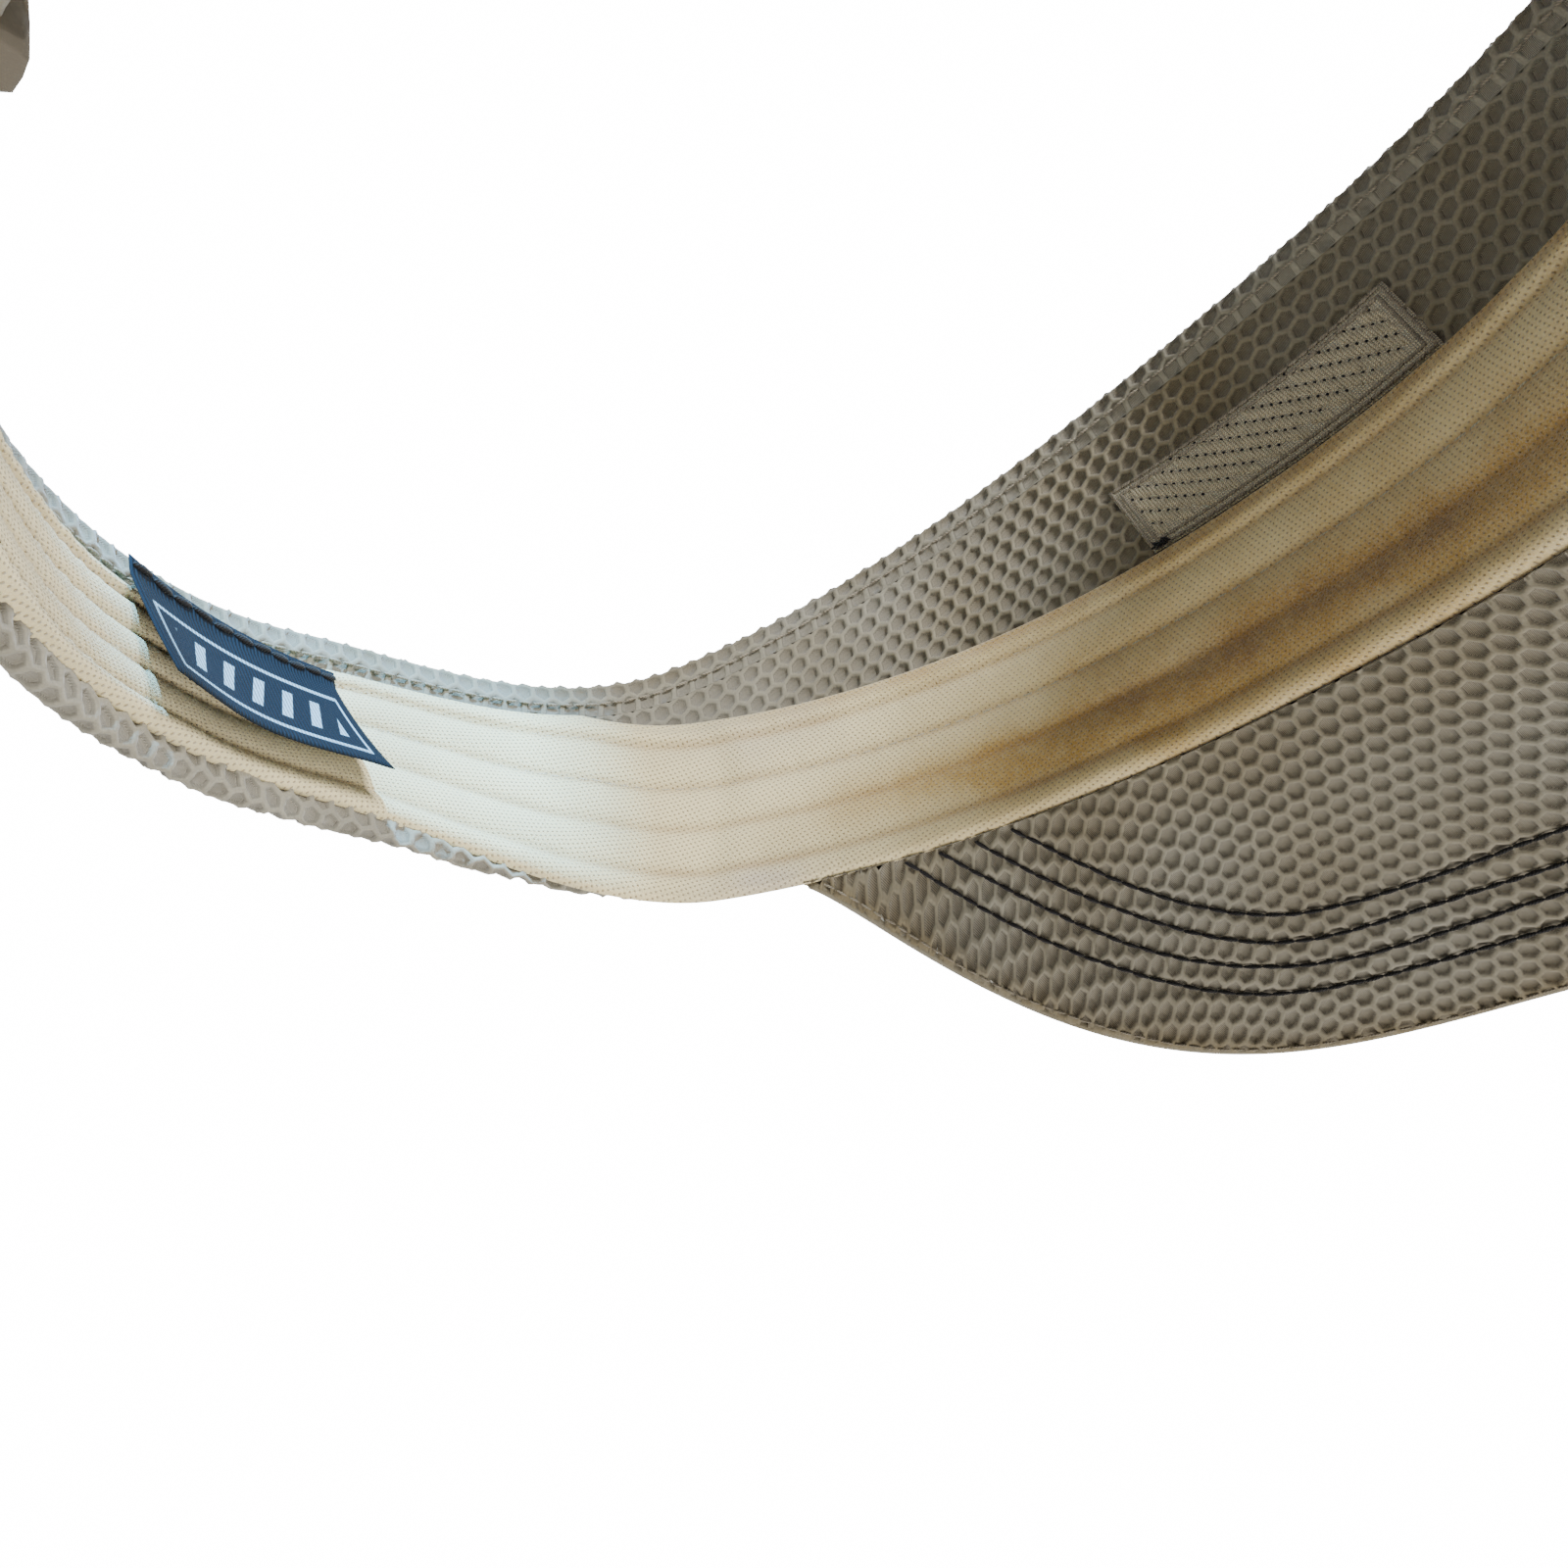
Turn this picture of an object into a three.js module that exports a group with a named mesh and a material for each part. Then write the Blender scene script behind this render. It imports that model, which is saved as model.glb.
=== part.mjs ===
// A sports sun visor: an open-topped band of honeycomb spacer knit with a quilted sweatband inside,
// a stiffened peak with contrast stitching, and a hook-and-loop tab that closes the band behind the head.
// Millimetres. The visor stands on its peak and on the back of its band, +Z up, peak towards -Y,
// the wearer's left towards +X, with the origin under the middle of its box.
import * as THREE from "three";

// Band: an oval ring, measured along its lower edge from the centre front, the wearer's left positive.
const RING_HALF_WIDTH = 93.5;
const RING_HALF_DEPTH = 87.5;
const BAND_HEIGHT_FRONT = 68.5;
const BAND_HEIGHT_BACK = 21.5;
const BAND_TAPER = 1.65; // how quickly the height falls away from the front
const BAND_LEAN_FRONT = -1.5; // degrees that the wall leans inwards
const BAND_LEAN_BACK = -3.4;
const TEMPLE_DIP = 4; // the lower edge falls from the front to the temples,
const TEMPLE_DIP_END = 75; // degrees round from the front
const ARM_RISE = 15; // and rises again along the arms
const ARM_RISE_START = 70;
const ARM_RISE_END = 116;
const ARM_HEM_DROP = 5; // how far the arms' folded hem hangs below the sweatband at the back
const ARM_HEM_START = 108;
const ARM_HEM_FULL = 190;
const STAND_TILT = 15.35; // degrees that the ring leans back when the visor stands on a table

// Layers of the wall, from the outer knit inwards.
const CLEARANCE = 0.3;
const KNIT = 1.8;
const FOLD = 1.4;
const SWEAT_FACE = 1.2;
const THREAD = 0.4;
const PATCH = 0.8;
const STRAP = 1.2;

// Sweatband and hems.
const SWEATBAND_WIDTH = 33.5;
const SWEATBAND_BELOW_TOP = 6.3;
const SWEATBAND_OVERHANG = 1.2;
const SWEATBAND_SEAMS = [0.15, 0.39, 0.62, 0.86];
const HEM_WIDTH = 5;
const ARM_FOLD_HEIGHT = 4;
const SEAM_WIDTH = 0.7;
const TOP_FOLD_WIDTH = 2.4;

// Peak: how far it reaches from the band, and how it slopes.
const PEAK_HALF_SPAN = 97; // along the band
const PEAK_REACH = 68;
const PEAK_OUTLINE = 3.4;
const PEAK_OUTLINE_POWER = 1.66;
const PEAK_SLOPE_FRONT = 47; // degrees below the ring's plane
const PEAK_SLOPE_EXTRA = 14.5; // steeper again towards its corners
const PEAK_FORWARD = 0.5; // 0 fans out square to the band, 1 points straight forwards
const PEAK_BOARD = 2;
const PEAK_COVER = 1;
const PEAK_START = 1.6;
const PEAK_END = 0.975; // share of the half span at which the covers are cut off
const PEAK_BOARD_INSET = 2.5;
const PEAK_EDGE_STITCH = 2;
const PEAK_FIRST_ROW = 13.7;
const PEAK_ROW_GAP = 5.4;
const PEAK_ROWS = 4;
const ROW_WIDTH = 0.7;

// Emblem at the centre front, with slanted ends.
const EMBLEM_LEFT = 19; // its ends along the band, at its lower edge
const EMBLEM_RIGHT = -33;
const EMBLEM_LOW = 34.4;
const EMBLEM_HIGH = 49.6;
const EMBLEM_SLANT = 0.27;
const EMBLEM_THICKNESS = 0.9;

// Back closure.
const BACK_GAP = 44; // between the two arms' ends, bridged by the tab
const TAB_WIDTH = 17;
const TAB_ROOT_LENGTH = 18;
const TAB_OVERLAP = 31;
const TAB_STEP_LENGTH = 18;
const TAB_HINGE_GAP = 0.6;
const HOOK_LENGTH = 36;
const LOOP_LENGTH = 52;
const PATCH_INSET = 1.5;
const TACK_WIDTH = 1.6;
const BINDING_LENGTH = 3;

// Woven label on the wearer's left arm, sewn along its top edge.
const LABEL_FROM_END = 40; // from the arm's end
const LABEL_LENGTH = 46;
const LABEL_HEIGHT = 18;
const LABEL_THICKNESS = 0.6;
const LABEL_HEM = 2.6;
const LABEL_TOP_START = 18.8; // height of its sewn edge at its two ends
const LABEL_TOP_END = 18.4;
const LABEL_LIFT = 14; // degrees that its free edge stands off

const STEP = 9; // length of one facet along the band

const MEAN_RADIUS = (RING_HALF_WIDTH + RING_HALF_DEPTH) / 2;
const BAND_END = Math.PI * MEAN_RADIUS - BACK_GAP / 2;
const TAB_LENGTH = BACK_GAP + TAB_OVERLAP - TAB_HINGE_GAP;
const LABEL_START = BAND_END - LABEL_FROM_END - LABEL_LENGTH;
const FACE_OUTER = -2 * CLEARANCE - FOLD;
const FACE_INNER = FACE_OUTER - SWEAT_FACE;
const SEAM_OUTER = FACE_INNER - CLEARANCE;
const SEAM_INNER = SEAM_OUTER - THREAD;
const PATCH_BASE = KNIT + CLEARANCE;
const HOOK_BASE = PATCH_BASE + PATCH + CLEARANCE;
const TAB_BASE = HOOK_BASE + PATCH + CLEARANCE;

const COLOURS = {
  knit: 0xa39a86,
  hem: 0x968d7a,
  cream: 0xe6d8ae,
  foam: 0xf0ead8,
  creamThread: 0xd8c79a,
  board: 0xd9d6cc,
  blackThread: 0x1c1b1a,
  navy: 0x17344f,
  strap: 0x9a917e,
  hook: 0xb5ad9a,
};

const radians = THREE.MathUtils.degToRad;
const lerp = THREE.MathUtils.lerp;
const smooth = THREE.MathUtils.smoothstep;

// Where along the ring: the angle at a length along it, and 1 at the front to 0 at the back.
const angleAt = (along) => along / MEAN_RADIUS;
const frontness = (along) => (1 + Math.cos(angleAt(along))) / 2;
const degreesRound = (along) => {
  const turn = THREE.MathUtils.euclideanModulo(angleAt(along) + Math.PI, 2 * Math.PI) - Math.PI;
  return Math.abs(THREE.MathUtils.radToDeg(turn));
};

const lowerEdge = (along) => {
  const round = degreesRound(along);
  return ARM_RISE * smooth(round, ARM_RISE_START, ARM_RISE_END) - TEMPLE_DIP * smooth(round, 0, TEMPLE_DIP_END);
};
const bandHeight = (along) =>
  lerp(BAND_HEIGHT_BACK, BAND_HEIGHT_FRONT, frontness(along) ** BAND_TAPER);
const bandLean = (along) => radians(lerp(BAND_LEAN_BACK, BAND_LEAN_FRONT, frontness(along)));
const armHemDrop = (along) => ARM_HEM_DROP * smooth(Math.abs(along), ARM_HEM_START, ARM_HEM_FULL);
const sweatbandTop = (along) => Math.min(SWEATBAND_WIDTH, bandHeight(along) - SWEATBAND_BELOW_TOP);

// A point of the wall: so far along, so high above the lower edge, so far out of the knit's inner face.
function wallPoint(along, height, out) {
  const angle = angleAt(along);
  const lean = bandLean(along);
  const outward = new THREE.Vector3(
    RING_HALF_DEPTH * Math.sin(angle), -RING_HALF_WIDTH * Math.cos(angle), 0).normalize();
  const point = new THREE.Vector3(
    RING_HALF_WIDTH * Math.sin(angle), -RING_HALF_DEPTH * Math.cos(angle), lowerEdge(along));
  point.addScaledVector(outward, out * Math.cos(lean) - height * Math.sin(lean));
  point.z += height * Math.cos(lean) + out * Math.sin(lean);
  return point;
}

// The peak's middle surface: so far along the band, so far out from it.
function peakMiddle(along, reach) {
  const angle = angleAt(along);
  const square = new THREE.Vector3(
    RING_HALF_DEPTH * Math.sin(angle), -RING_HALF_WIDTH * Math.cos(angle), 0).normalize();
  const share = along / PEAK_HALF_SPAN;
  const slope = radians(PEAK_SLOPE_FRONT + PEAK_SLOPE_EXTRA * share * share);
  const way = square.lerp(new THREE.Vector3(0, -1, 0), PEAK_FORWARD).normalize();
  way.multiplyScalar(Math.cos(slope)).setZ(-Math.sin(slope));
  return wallPoint(along, 0, 0).addScaledVector(way, reach);
}

// The same, moved off the middle surface along its upward normal.
function peakPoint(along, reach, up) {
  const small = 0.01;
  const point = peakMiddle(along, reach);
  const across = peakMiddle(along + small, reach).sub(peakMiddle(along - small, reach));
  const outwards = peakMiddle(along, reach + small).sub(peakMiddle(along, reach - small));
  return point.addScaledVector(outwards.cross(across).normalize(), up);
}

const peakReach = (along) =>
  PEAK_REACH * (1 - Math.min(1, Math.abs(along / PEAK_HALF_SPAN)) ** PEAK_OUTLINE) ** PEAK_OUTLINE_POWER;

// A point on the line that runs a fixed distance inside the peak's edge.
function insideEdge(along, inset) {
  const small = 0.01;
  const slope = (peakReach(along + small) - peakReach(along - small)) / (2 * small);
  const length = Math.hypot(1, slope);
  return { along: along + (inset * slope) / length, reach: peakReach(along) - inset / length };
}

// Bends a unit box: x runs along, z runs up or out, and y runs through the thickness, the outside at -Y.
function bentBox(steps, rows, place) {
  const geometry = new THREE.BoxGeometry(1, 1, 1, steps, 1, rows);
  const position = geometry.getAttribute("position");
  for (let i = 0; i < position.count; i += 1) {
    const point = place(position.getX(i) + 0.5, position.getZ(i) + 0.5, 0.5 - position.getY(i));
    position.setXYZ(i, point.x, point.y, point.z);
  }
  geometry.computeVertexNormals();
  return geometry;
}

const visor = new THREE.Group();

function addMesh(name, geometry, color, roughness = 0.9) {
  const mesh = new THREE.Mesh(geometry, new THREE.MeshStandardMaterial({ color, roughness, metalness: 0 }));
  mesh.name = name;
  visor.add(mesh);
}

// A layer of the wall between two lengths. Each edge is a number or a function of the length along.
function wallLayer({ from, to, low, high, inner, outer, slant = 0, rows = 1 }) {
  const at = (edge, along) => (typeof edge === "function" ? edge(along) : edge);
  const steps = Math.max(1, Math.round(Math.abs(to - from) / STEP));
  return bentBox(steps, rows, (x, z, y) => {
    const along = lerp(from, to, x);
    const height = lerp(at(low, along), at(high, along), z);
    const out = lerp(at(inner, along), at(outer, along), y);
    return wallPoint(along + slant * (height - at(low, along)), height, out);
  });
}

// A layer of the peak between two offsets from its middle surface, set in from its edge.
function peakLayer({ inset, under, over, start }) {
  const span = PEAK_HALF_SPAN * PEAK_END - inset * 2;
  return bentBox(28, 6, (x, z, y) => {
    const along = lerp(-span, span, x);
    const reach = lerp(start, Math.max(start + 0.5, peakReach(along) - inset), 1 - z);
    return peakPoint(along, reach, lerp(under, over, y));
  });
}

// A line of thread under the peak, a fixed distance inside its edge.
function peakRow(inset, under) {
  const reachesBand = (along) => insideEdge(along, inset).reach > PEAK_START + 1;
  let span = PEAK_HALF_SPAN;
  while (!reachesBand(span)) span -= 0.5;
  const steps = 32;
  return bentBox(steps, 1, (x, z, y) => {
    const spot = insideEdge(lerp(-span, span, x), inset + ROW_WIDTH * (z - 0.5));
    return peakPoint(spot.along, spot.reach, under - THREAD * (1 - y));
  });
}

// Outer knit, with its folded hems.
function makeBand() {
  const ends = { from: -BAND_END, to: BAND_END };
  const fold = { inner: -CLEARANCE - FOLD, outer: -CLEARANCE };
  addMesh("outer_band", wallLayer({
    ...ends, low: (s) => -armHemDrop(s), high: bandHeight, inner: 0, outer: KNIT,
  }), COLOURS.knit);
  addMesh("top_hem", wallLayer({
    ...ends, ...fold, low: (s) => bandHeight(s) - HEM_WIDTH / 2, high: bandHeight,
  }), COLOURS.hem);
  addMesh("top_hem_stitch", wallLayer({
    ...ends,
    low: (s) => bandHeight(s) - HEM_WIDTH / 2 + 0.6,
    high: (s) => bandHeight(s) - HEM_WIDTH / 2 + 0.6 + SEAM_WIDTH,
    inner: fold.inner - CLEARANCE - THREAD,
    outer: fold.inner - CLEARANCE,
  }), COLOURS.hem);
  for (const [side, sign] of [["left", 1], ["right", -1]]) {
    const span = [sign * (ARM_HEM_START + 8), sign * BAND_END].sort((a, b) => a - b);
    addMesh("arm_hem_" + side, wallLayer({
      ...fold, from: span[0], to: span[1], low: (s) => -armHemDrop(s), high: ARM_FOLD_HEIGHT,
    }), COLOURS.hem);
  }
}

// Sweatband: foam behind a quilted knit face, its top edge folded and four seams through it.
function makeSweatband() {
  const end = BAND_END - BINDING_LENGTH;
  const ends = { from: -end, to: end };
  const low = -SWEATBAND_OVERHANG;
  addMesh("sweatband_foam", wallLayer({
    ...ends,
    low: ARM_FOLD_HEIGHT + CLEARANCE,
    high: (s) => sweatbandTop(s) - TOP_FOLD_WIDTH,
    inner: -CLEARANCE - FOLD,
    outer: -CLEARANCE,
  }), COLOURS.foam);
  addMesh("sweatband_face", wallLayer({
    ...ends, low, high: (s) => sweatbandTop(s), inner: FACE_INNER, outer: FACE_OUTER,
  }), COLOURS.cream);
  SWEATBAND_SEAMS.forEach((share, i) => {
    const height = (s) => lerp(sweatbandTop(s), low, share);
    addMesh("sweatband_seam_" + (i + 1), wallLayer({
      ...ends,
      low: (s) => height(s) - SEAM_WIDTH / 2,
      high: (s) => height(s) + SEAM_WIDTH / 2,
      inner: SEAM_INNER,
      outer: SEAM_OUTER,
    }), COLOURS.creamThread);
  });
}

// Emblem outside and its thread backing inside.
function makeEmblem() {
  const shape = { from: EMBLEM_RIGHT, to: EMBLEM_LEFT, low: EMBLEM_LOW, high: EMBLEM_HIGH };
  const slanted = { ...shape, slant: EMBLEM_SLANT };
  addMesh("emblem", wallLayer({
    ...slanted, inner: KNIT + CLEARANCE, outer: KNIT + CLEARANCE + EMBLEM_THICKNESS,
  }), COLOURS.cream);
  addMesh("emblem_backing", wallLayer({
    ...slanted, inner: -CLEARANCE - EMBLEM_THICKNESS, outer: -CLEARANCE,
  }), COLOURS.creamThread);
}

// Peak: a stiff board between two knit covers, stitched through in parallel rows.
function makePeak() {
  const board = PEAK_BOARD / 2;
  const cover = board + CLEARANCE;
  const face = cover + PEAK_COVER;
  addMesh("peak_board", peakLayer({
    inset: PEAK_BOARD_INSET, under: -board, over: board, start: PEAK_START + 1,
  }), COLOURS.board);
  addMesh("peak_top_cover", peakLayer({
    inset: 0, under: cover, over: face, start: PEAK_START,
  }), COLOURS.knit);
  addMesh("peak_under_cover", peakLayer({
    inset: 0, under: -face, over: -cover, start: PEAK_START,
  }), COLOURS.knit);
  const thread = -face - CLEARANCE;
  addMesh("peak_edge_stitch", peakRow(PEAK_EDGE_STITCH, thread), COLOURS.hem);
  for (let row = 0; row < PEAK_ROWS; row += 1) {
    addMesh("peak_row_" + (row + 1), peakRow(PEAK_FIRST_ROW + row * PEAK_ROW_GAP, thread), COLOURS.blackThread);
  }
}

// Closure: a strap sewn to the right arm that peels off a loop patch on the left arm.
function makeClosure() {
  const middle = (s) => (bandHeight(s) - armHemDrop(BAND_END)) / 2;
  const strip = (width) => ({ low: (s) => middle(s) - width / 2, high: (s) => middle(s) + width / 2 });
  const rootEnd = -BAND_END;
  const rootStart = rootEnd + TAB_ROOT_LENGTH;
  const tabStart = rootEnd - TAB_HINGE_GAP;
  const tabEnd = tabStart - TAB_LENGTH;
  const strapBase = (s) => lerp(PATCH_BASE, TAB_BASE, smooth(tabStart - s, 0, TAB_STEP_LENGTH));
  const tabFace = PATCH_BASE + STRAP + CLEARANCE;
  addMesh("tab_root", wallLayer({
    from: rootEnd, to: rootStart, ...strip(TAB_WIDTH), inner: PATCH_BASE, outer: PATCH_BASE + STRAP,
  }), COLOURS.strap);
  addMesh("closure_tab", wallLayer({
    from: tabEnd, to: tabStart, ...strip(TAB_WIDTH), inner: strapBase, outer: (s) => strapBase(s) + STRAP,
  }), COLOURS.strap);
  addMesh("hook_patch", wallLayer({
    from: tabEnd + PATCH_INSET,
    to: tabEnd + PATCH_INSET + HOOK_LENGTH,
    ...strip(TAB_WIDTH - 2 * PATCH_INSET),
    inner: HOOK_BASE,
    outer: HOOK_BASE + PATCH,
  }), COLOURS.hook);
  addMesh("loop_patch", wallLayer({
    from: BAND_END - BINDING_LENGTH - CLEARANCE - LOOP_LENGTH,
    to: BAND_END - BINDING_LENGTH - CLEARANCE,
    ...strip(TAB_WIDTH),
    inner: PATCH_BASE,
    outer: PATCH_BASE + PATCH,
  }), COLOURS.hook);
  [rootEnd + 3, rootStart - 3 - TACK_WIDTH].forEach((start, i) => {
    addMesh("tab_tack_" + (i + 1), wallLayer({
      from: start,
      to: start + TACK_WIDTH,
      ...strip(TAB_WIDTH - 2 * PATCH_INSET),
      inner: tabFace,
      outer: tabFace + THREAD,
    }), COLOURS.blackThread);
  });
}

// Woven label: a hem sewn down with heavy thread, and a flap that hangs from it.
function makeLabel() {
  const top = (s) => lerp(LABEL_TOP_START, LABEL_TOP_END, (s - LABEL_START) / LABEL_LENGTH);
  const fold = (s) => top(s) - LABEL_HEM;
  const outer = SEAM_INNER - CLEARANCE;
  const ends = { from: LABEL_START, to: LABEL_START + LABEL_LENGTH };
  addMesh("label_hem", wallLayer({
    ...ends, low: fold, high: top, inner: outer - LABEL_THICKNESS, outer,
  }), COLOURS.navy);
  const sewn = outer - LABEL_THICKNESS - CLEARANCE;
  addMesh("label_stitch", wallLayer({
    ...ends,
    low: (s) => top(s) - LABEL_HEM * 0.7,
    high: (s) => top(s) - LABEL_HEM * 0.4,
    inner: sewn - THREAD,
    outer: sewn,
  }), COLOURS.blackThread);
  const lift = Math.tan(radians(LABEL_LIFT));
  const steps = Math.round(LABEL_LENGTH / STEP) + 1;
  addMesh("label_flap", bentBox(steps, 2, (x, z, y) => {
    const along = lerp(ends.from, ends.to, x);
    const drop = (LABEL_HEIGHT - LABEL_HEM) * (1 - z);
    const face = outer - lift * drop - LABEL_THICKNESS * (1 - y);
    return wallPoint(along, fold(along) - TAB_HINGE_GAP - drop, face);
  }), COLOURS.navy);
}

// Bindings over the raw ends of the two arms.
function makeEndBindings() {
  for (const [side, sign] of [["left", 1], ["right", -1]]) {
    const span = [sign * (BAND_END - BINDING_LENGTH + CLEARANCE), sign * BAND_END].sort((a, b) => a - b);
    addMesh("end_binding_" + side, wallLayer({
      from: span[0],
      to: span[1],
      low: (s) => -armHemDrop(s) + HEM_WIDTH / 2,
      high: (s) => bandHeight(s) - HEM_WIDTH,
      inner: FACE_INNER,
      outer: FACE_OUTER,
    }), COLOURS.hem);
  }
}

makeBand();
makeSweatband();
makeEmblem();
makePeak();
makeClosure();
makeLabel();
makeEndBindings();

// Stands the visor on its peak and on the back of its band, over the origin.
visor.rotation.x = radians(-STAND_TILT);
visor.updateMatrixWorld(true);
const box = new THREE.Box3().setFromObject(visor, true);
visor.position.y = -(box.min.y + box.max.y) / 2;
visor.position.z = -box.min.z;

export default visor;
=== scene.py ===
"""Looks of a sports sun visor: honeycomb knit, quilted sweatband, stitched peak, woven label and strap."""

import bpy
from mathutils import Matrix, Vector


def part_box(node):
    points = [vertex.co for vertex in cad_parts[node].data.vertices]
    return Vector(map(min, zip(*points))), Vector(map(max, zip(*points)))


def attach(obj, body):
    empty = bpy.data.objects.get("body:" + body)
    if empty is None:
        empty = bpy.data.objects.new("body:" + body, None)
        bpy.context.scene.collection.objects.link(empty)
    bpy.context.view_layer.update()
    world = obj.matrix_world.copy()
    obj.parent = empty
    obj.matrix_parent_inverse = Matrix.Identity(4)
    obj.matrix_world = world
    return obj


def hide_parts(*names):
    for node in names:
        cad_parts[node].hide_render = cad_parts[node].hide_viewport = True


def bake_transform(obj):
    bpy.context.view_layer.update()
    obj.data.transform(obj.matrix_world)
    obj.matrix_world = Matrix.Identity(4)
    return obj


bl_info = {
    "name": "Sun Visor Pieces",
    "version": (1, 0, 0),
    "blender": (4, 5, 0),
    "location": "View3D > Sidebar > Sun Visor",
    "description": "Builds the visible pieces of a sports sun visor around its packed frame",
    "category": "Add Mesh",
}

import math

import bmesh
import bpy
import numpy as np
from bpy.props import FloatProperty, FloatVectorProperty, PointerProperty
from mathutils import Matrix, Vector

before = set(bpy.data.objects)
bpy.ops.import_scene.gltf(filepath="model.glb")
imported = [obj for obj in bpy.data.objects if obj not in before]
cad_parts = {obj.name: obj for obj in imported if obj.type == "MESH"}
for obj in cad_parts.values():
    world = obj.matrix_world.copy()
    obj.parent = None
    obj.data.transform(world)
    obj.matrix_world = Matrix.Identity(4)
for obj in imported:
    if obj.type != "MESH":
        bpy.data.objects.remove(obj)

# The ring, in millimetres: the same shape as the part's, measured along its lower edge from the front.
RING_HALF_WIDTH = 93.5
RING_HALF_DEPTH = 87.5
MEAN_RADIUS = (RING_HALF_WIDTH + RING_HALF_DEPTH) / 2
BAND_END = math.pi * MEAN_RADIUS - 22
BAND_FRONT_HEIGHT = 68.5
BAND_END_HEIGHT = 21.5
STAND_TILT = math.radians(15.35)
KNIT = 1.8  # the knit's outer face, out of its inner face
FOLD_DEPTH = -1.7  # the inner face of a folded hem
PEAK_HALF_SPAN = 97
PEAK_REACH = 68
OUTLINE_POWERS = (3.4, 1.66)  # how square the peak's outline is, and how soon it narrows
PEAK_SLOPE = math.radians(47)
FLANK_SLOPE = math.radians(14.5)  # added to the slope at the peak's two ends
PEAK_FACE = 2.3  # either cover's face, off the peak's middle surface
ROW_INSETS = [13.7 + 5.4 * row for row in range(4)]
EDGE_STITCH_INSET = 2
ROLL_INSET = 0.75  # middle of the rolled edge, inside the peak's outline
SWEATBAND_SEAMS = [0.15, 0.39, 0.62, 0.86]  # shares of its height, from the top
SWEATBAND_HEIGHT = 33.5
SWEATBAND_LOW = -1.2  # its lower edge, below the band's
STRAP_END = -BAND_END - 75
STRAP_START = -BAND_END + 18
LABEL_START = BAND_END - 86
LABEL_LENGTH = 46
LABEL_HEIGHT = 18
LABEL_HEM = 2.6
FACET = 9  # the part's own facets along the band


def smooth(value, low, high):
    """0 below low, 1 above high, and an even S between them."""
    share = np.clip((value - low) / (high - low), 0, 1)
    return share * share * (3 - 2 * share)


def lerp(start, end, share):
    return start + (end - start) * share


def bell(distance, width):
    """1 at no distance, about a third at the width, and 0 far off."""
    return np.exp(-(distance / width) ** 2)


def rounded(share):
    """A quarter-round rise, from 0 at 0 to 1 at 1."""
    return np.sqrt(np.clip(1 - (1 - np.clip(share, 0, 1)) ** 2, 0, 1))


def unit(ways):
    return ways / np.linalg.norm(ways, axis=1, keepdims=True)


def frontness(along):
    return (1 + np.cos(along / MEAN_RADIUS)) / 2


def band_height(along):
    return lerp(BAND_END_HEIGHT, BAND_FRONT_HEIGHT, frontness(along) ** 1.65)


def hem_drop(along):
    return 5 * smooth(np.abs(along), 108, 190)


def sweatband_top(along):
    return np.minimum(SWEATBAND_HEIGHT, band_height(along) - 6.3)


def outward(along):
    angle = along / MEAN_RADIUS
    return unit(np.stack([RING_HALF_DEPTH * np.sin(angle), -RING_HALF_WIDTH * np.cos(angle), 0 * angle], 1))


def wall(along, height, out):
    """Points of the band's wall: so far along, so high, so far out of the knit's inner face."""
    along, height, out = np.broadcast_arrays(
        np.asarray(along, float), np.asarray(height, float), np.asarray(out, float))
    angle = along / MEAN_RADIUS
    turn = np.degrees(angle) + 180
    round_front = np.abs(turn - 360 * np.floor(turn / 360) - 180)
    lean = np.radians(lerp(-3.4, -1.5, frontness(along)))
    rise = 15 * smooth(round_front, 70, 116) - 4 * smooth(round_front, 0, 75)
    base = np.stack([RING_HALF_WIDTH * np.sin(angle), -RING_HALF_DEPTH * np.cos(angle), rise], 1)
    points = base + outward(along) * (out * np.cos(lean) - height * np.sin(lean))[:, None]
    points[:, 2] += height * np.cos(lean) + out * np.sin(lean)
    return points


def peak_reach(along):
    square, narrow = OUTLINE_POWERS
    return PEAK_REACH * (1 - np.minimum(1, np.abs(along / PEAK_HALF_SPAN)) ** square) ** narrow


def peak_middle(along, reach):
    """Points of the peak's middle surface: so far along the band, so far out from it."""
    along, reach = np.broadcast_arrays(np.asarray(along, float), np.asarray(reach, float))
    slope = PEAK_SLOPE + FLANK_SLOPE * (along / PEAK_HALF_SPAN) ** 2
    way = unit(outward(along) + np.array([0, -1, 0])) * np.cos(slope)[:, None]
    way[:, 2] = -np.sin(slope)
    return wall(along, 0, 0) + way * reach[:, None]


def peak_point(along, reach, up):
    """The same, moved off the middle surface along its upward normal."""
    small = 0.01
    across = peak_middle(along + small, reach) - peak_middle(along - small, reach)
    outwards = peak_middle(along, reach + small) - peak_middle(along, reach - small)
    normal = unit(np.cross(outwards, across))
    return peak_middle(along, reach) + normal * np.asarray(up)[..., None]


def outline_slope(along):
    small = 0.01
    return (peak_reach(along + small) - peak_reach(along - small)) / (2 * small)


def inside_edge(along, inset):
    """The spot a fixed distance inside the peak's edge, as its length along and its reach."""
    slope = outline_slope(along)
    length = np.hypot(1, slope)
    return along + inset * slope / length, peak_reach(along) - inset / length


def edge_near(along, reach):
    """The peak's edge nearest to a spot, as a length along, and how far inside it the spot is."""
    start = along.copy()
    for _ in range(12):
        slope = outline_slope(start)
        length = np.hypot(1, slope)
        inset = (peak_reach(start) - reach) * length
        start = np.clip(lerp(start, along - inset * slope / length, 0.5), -96, 96)
    return start, inset


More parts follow.
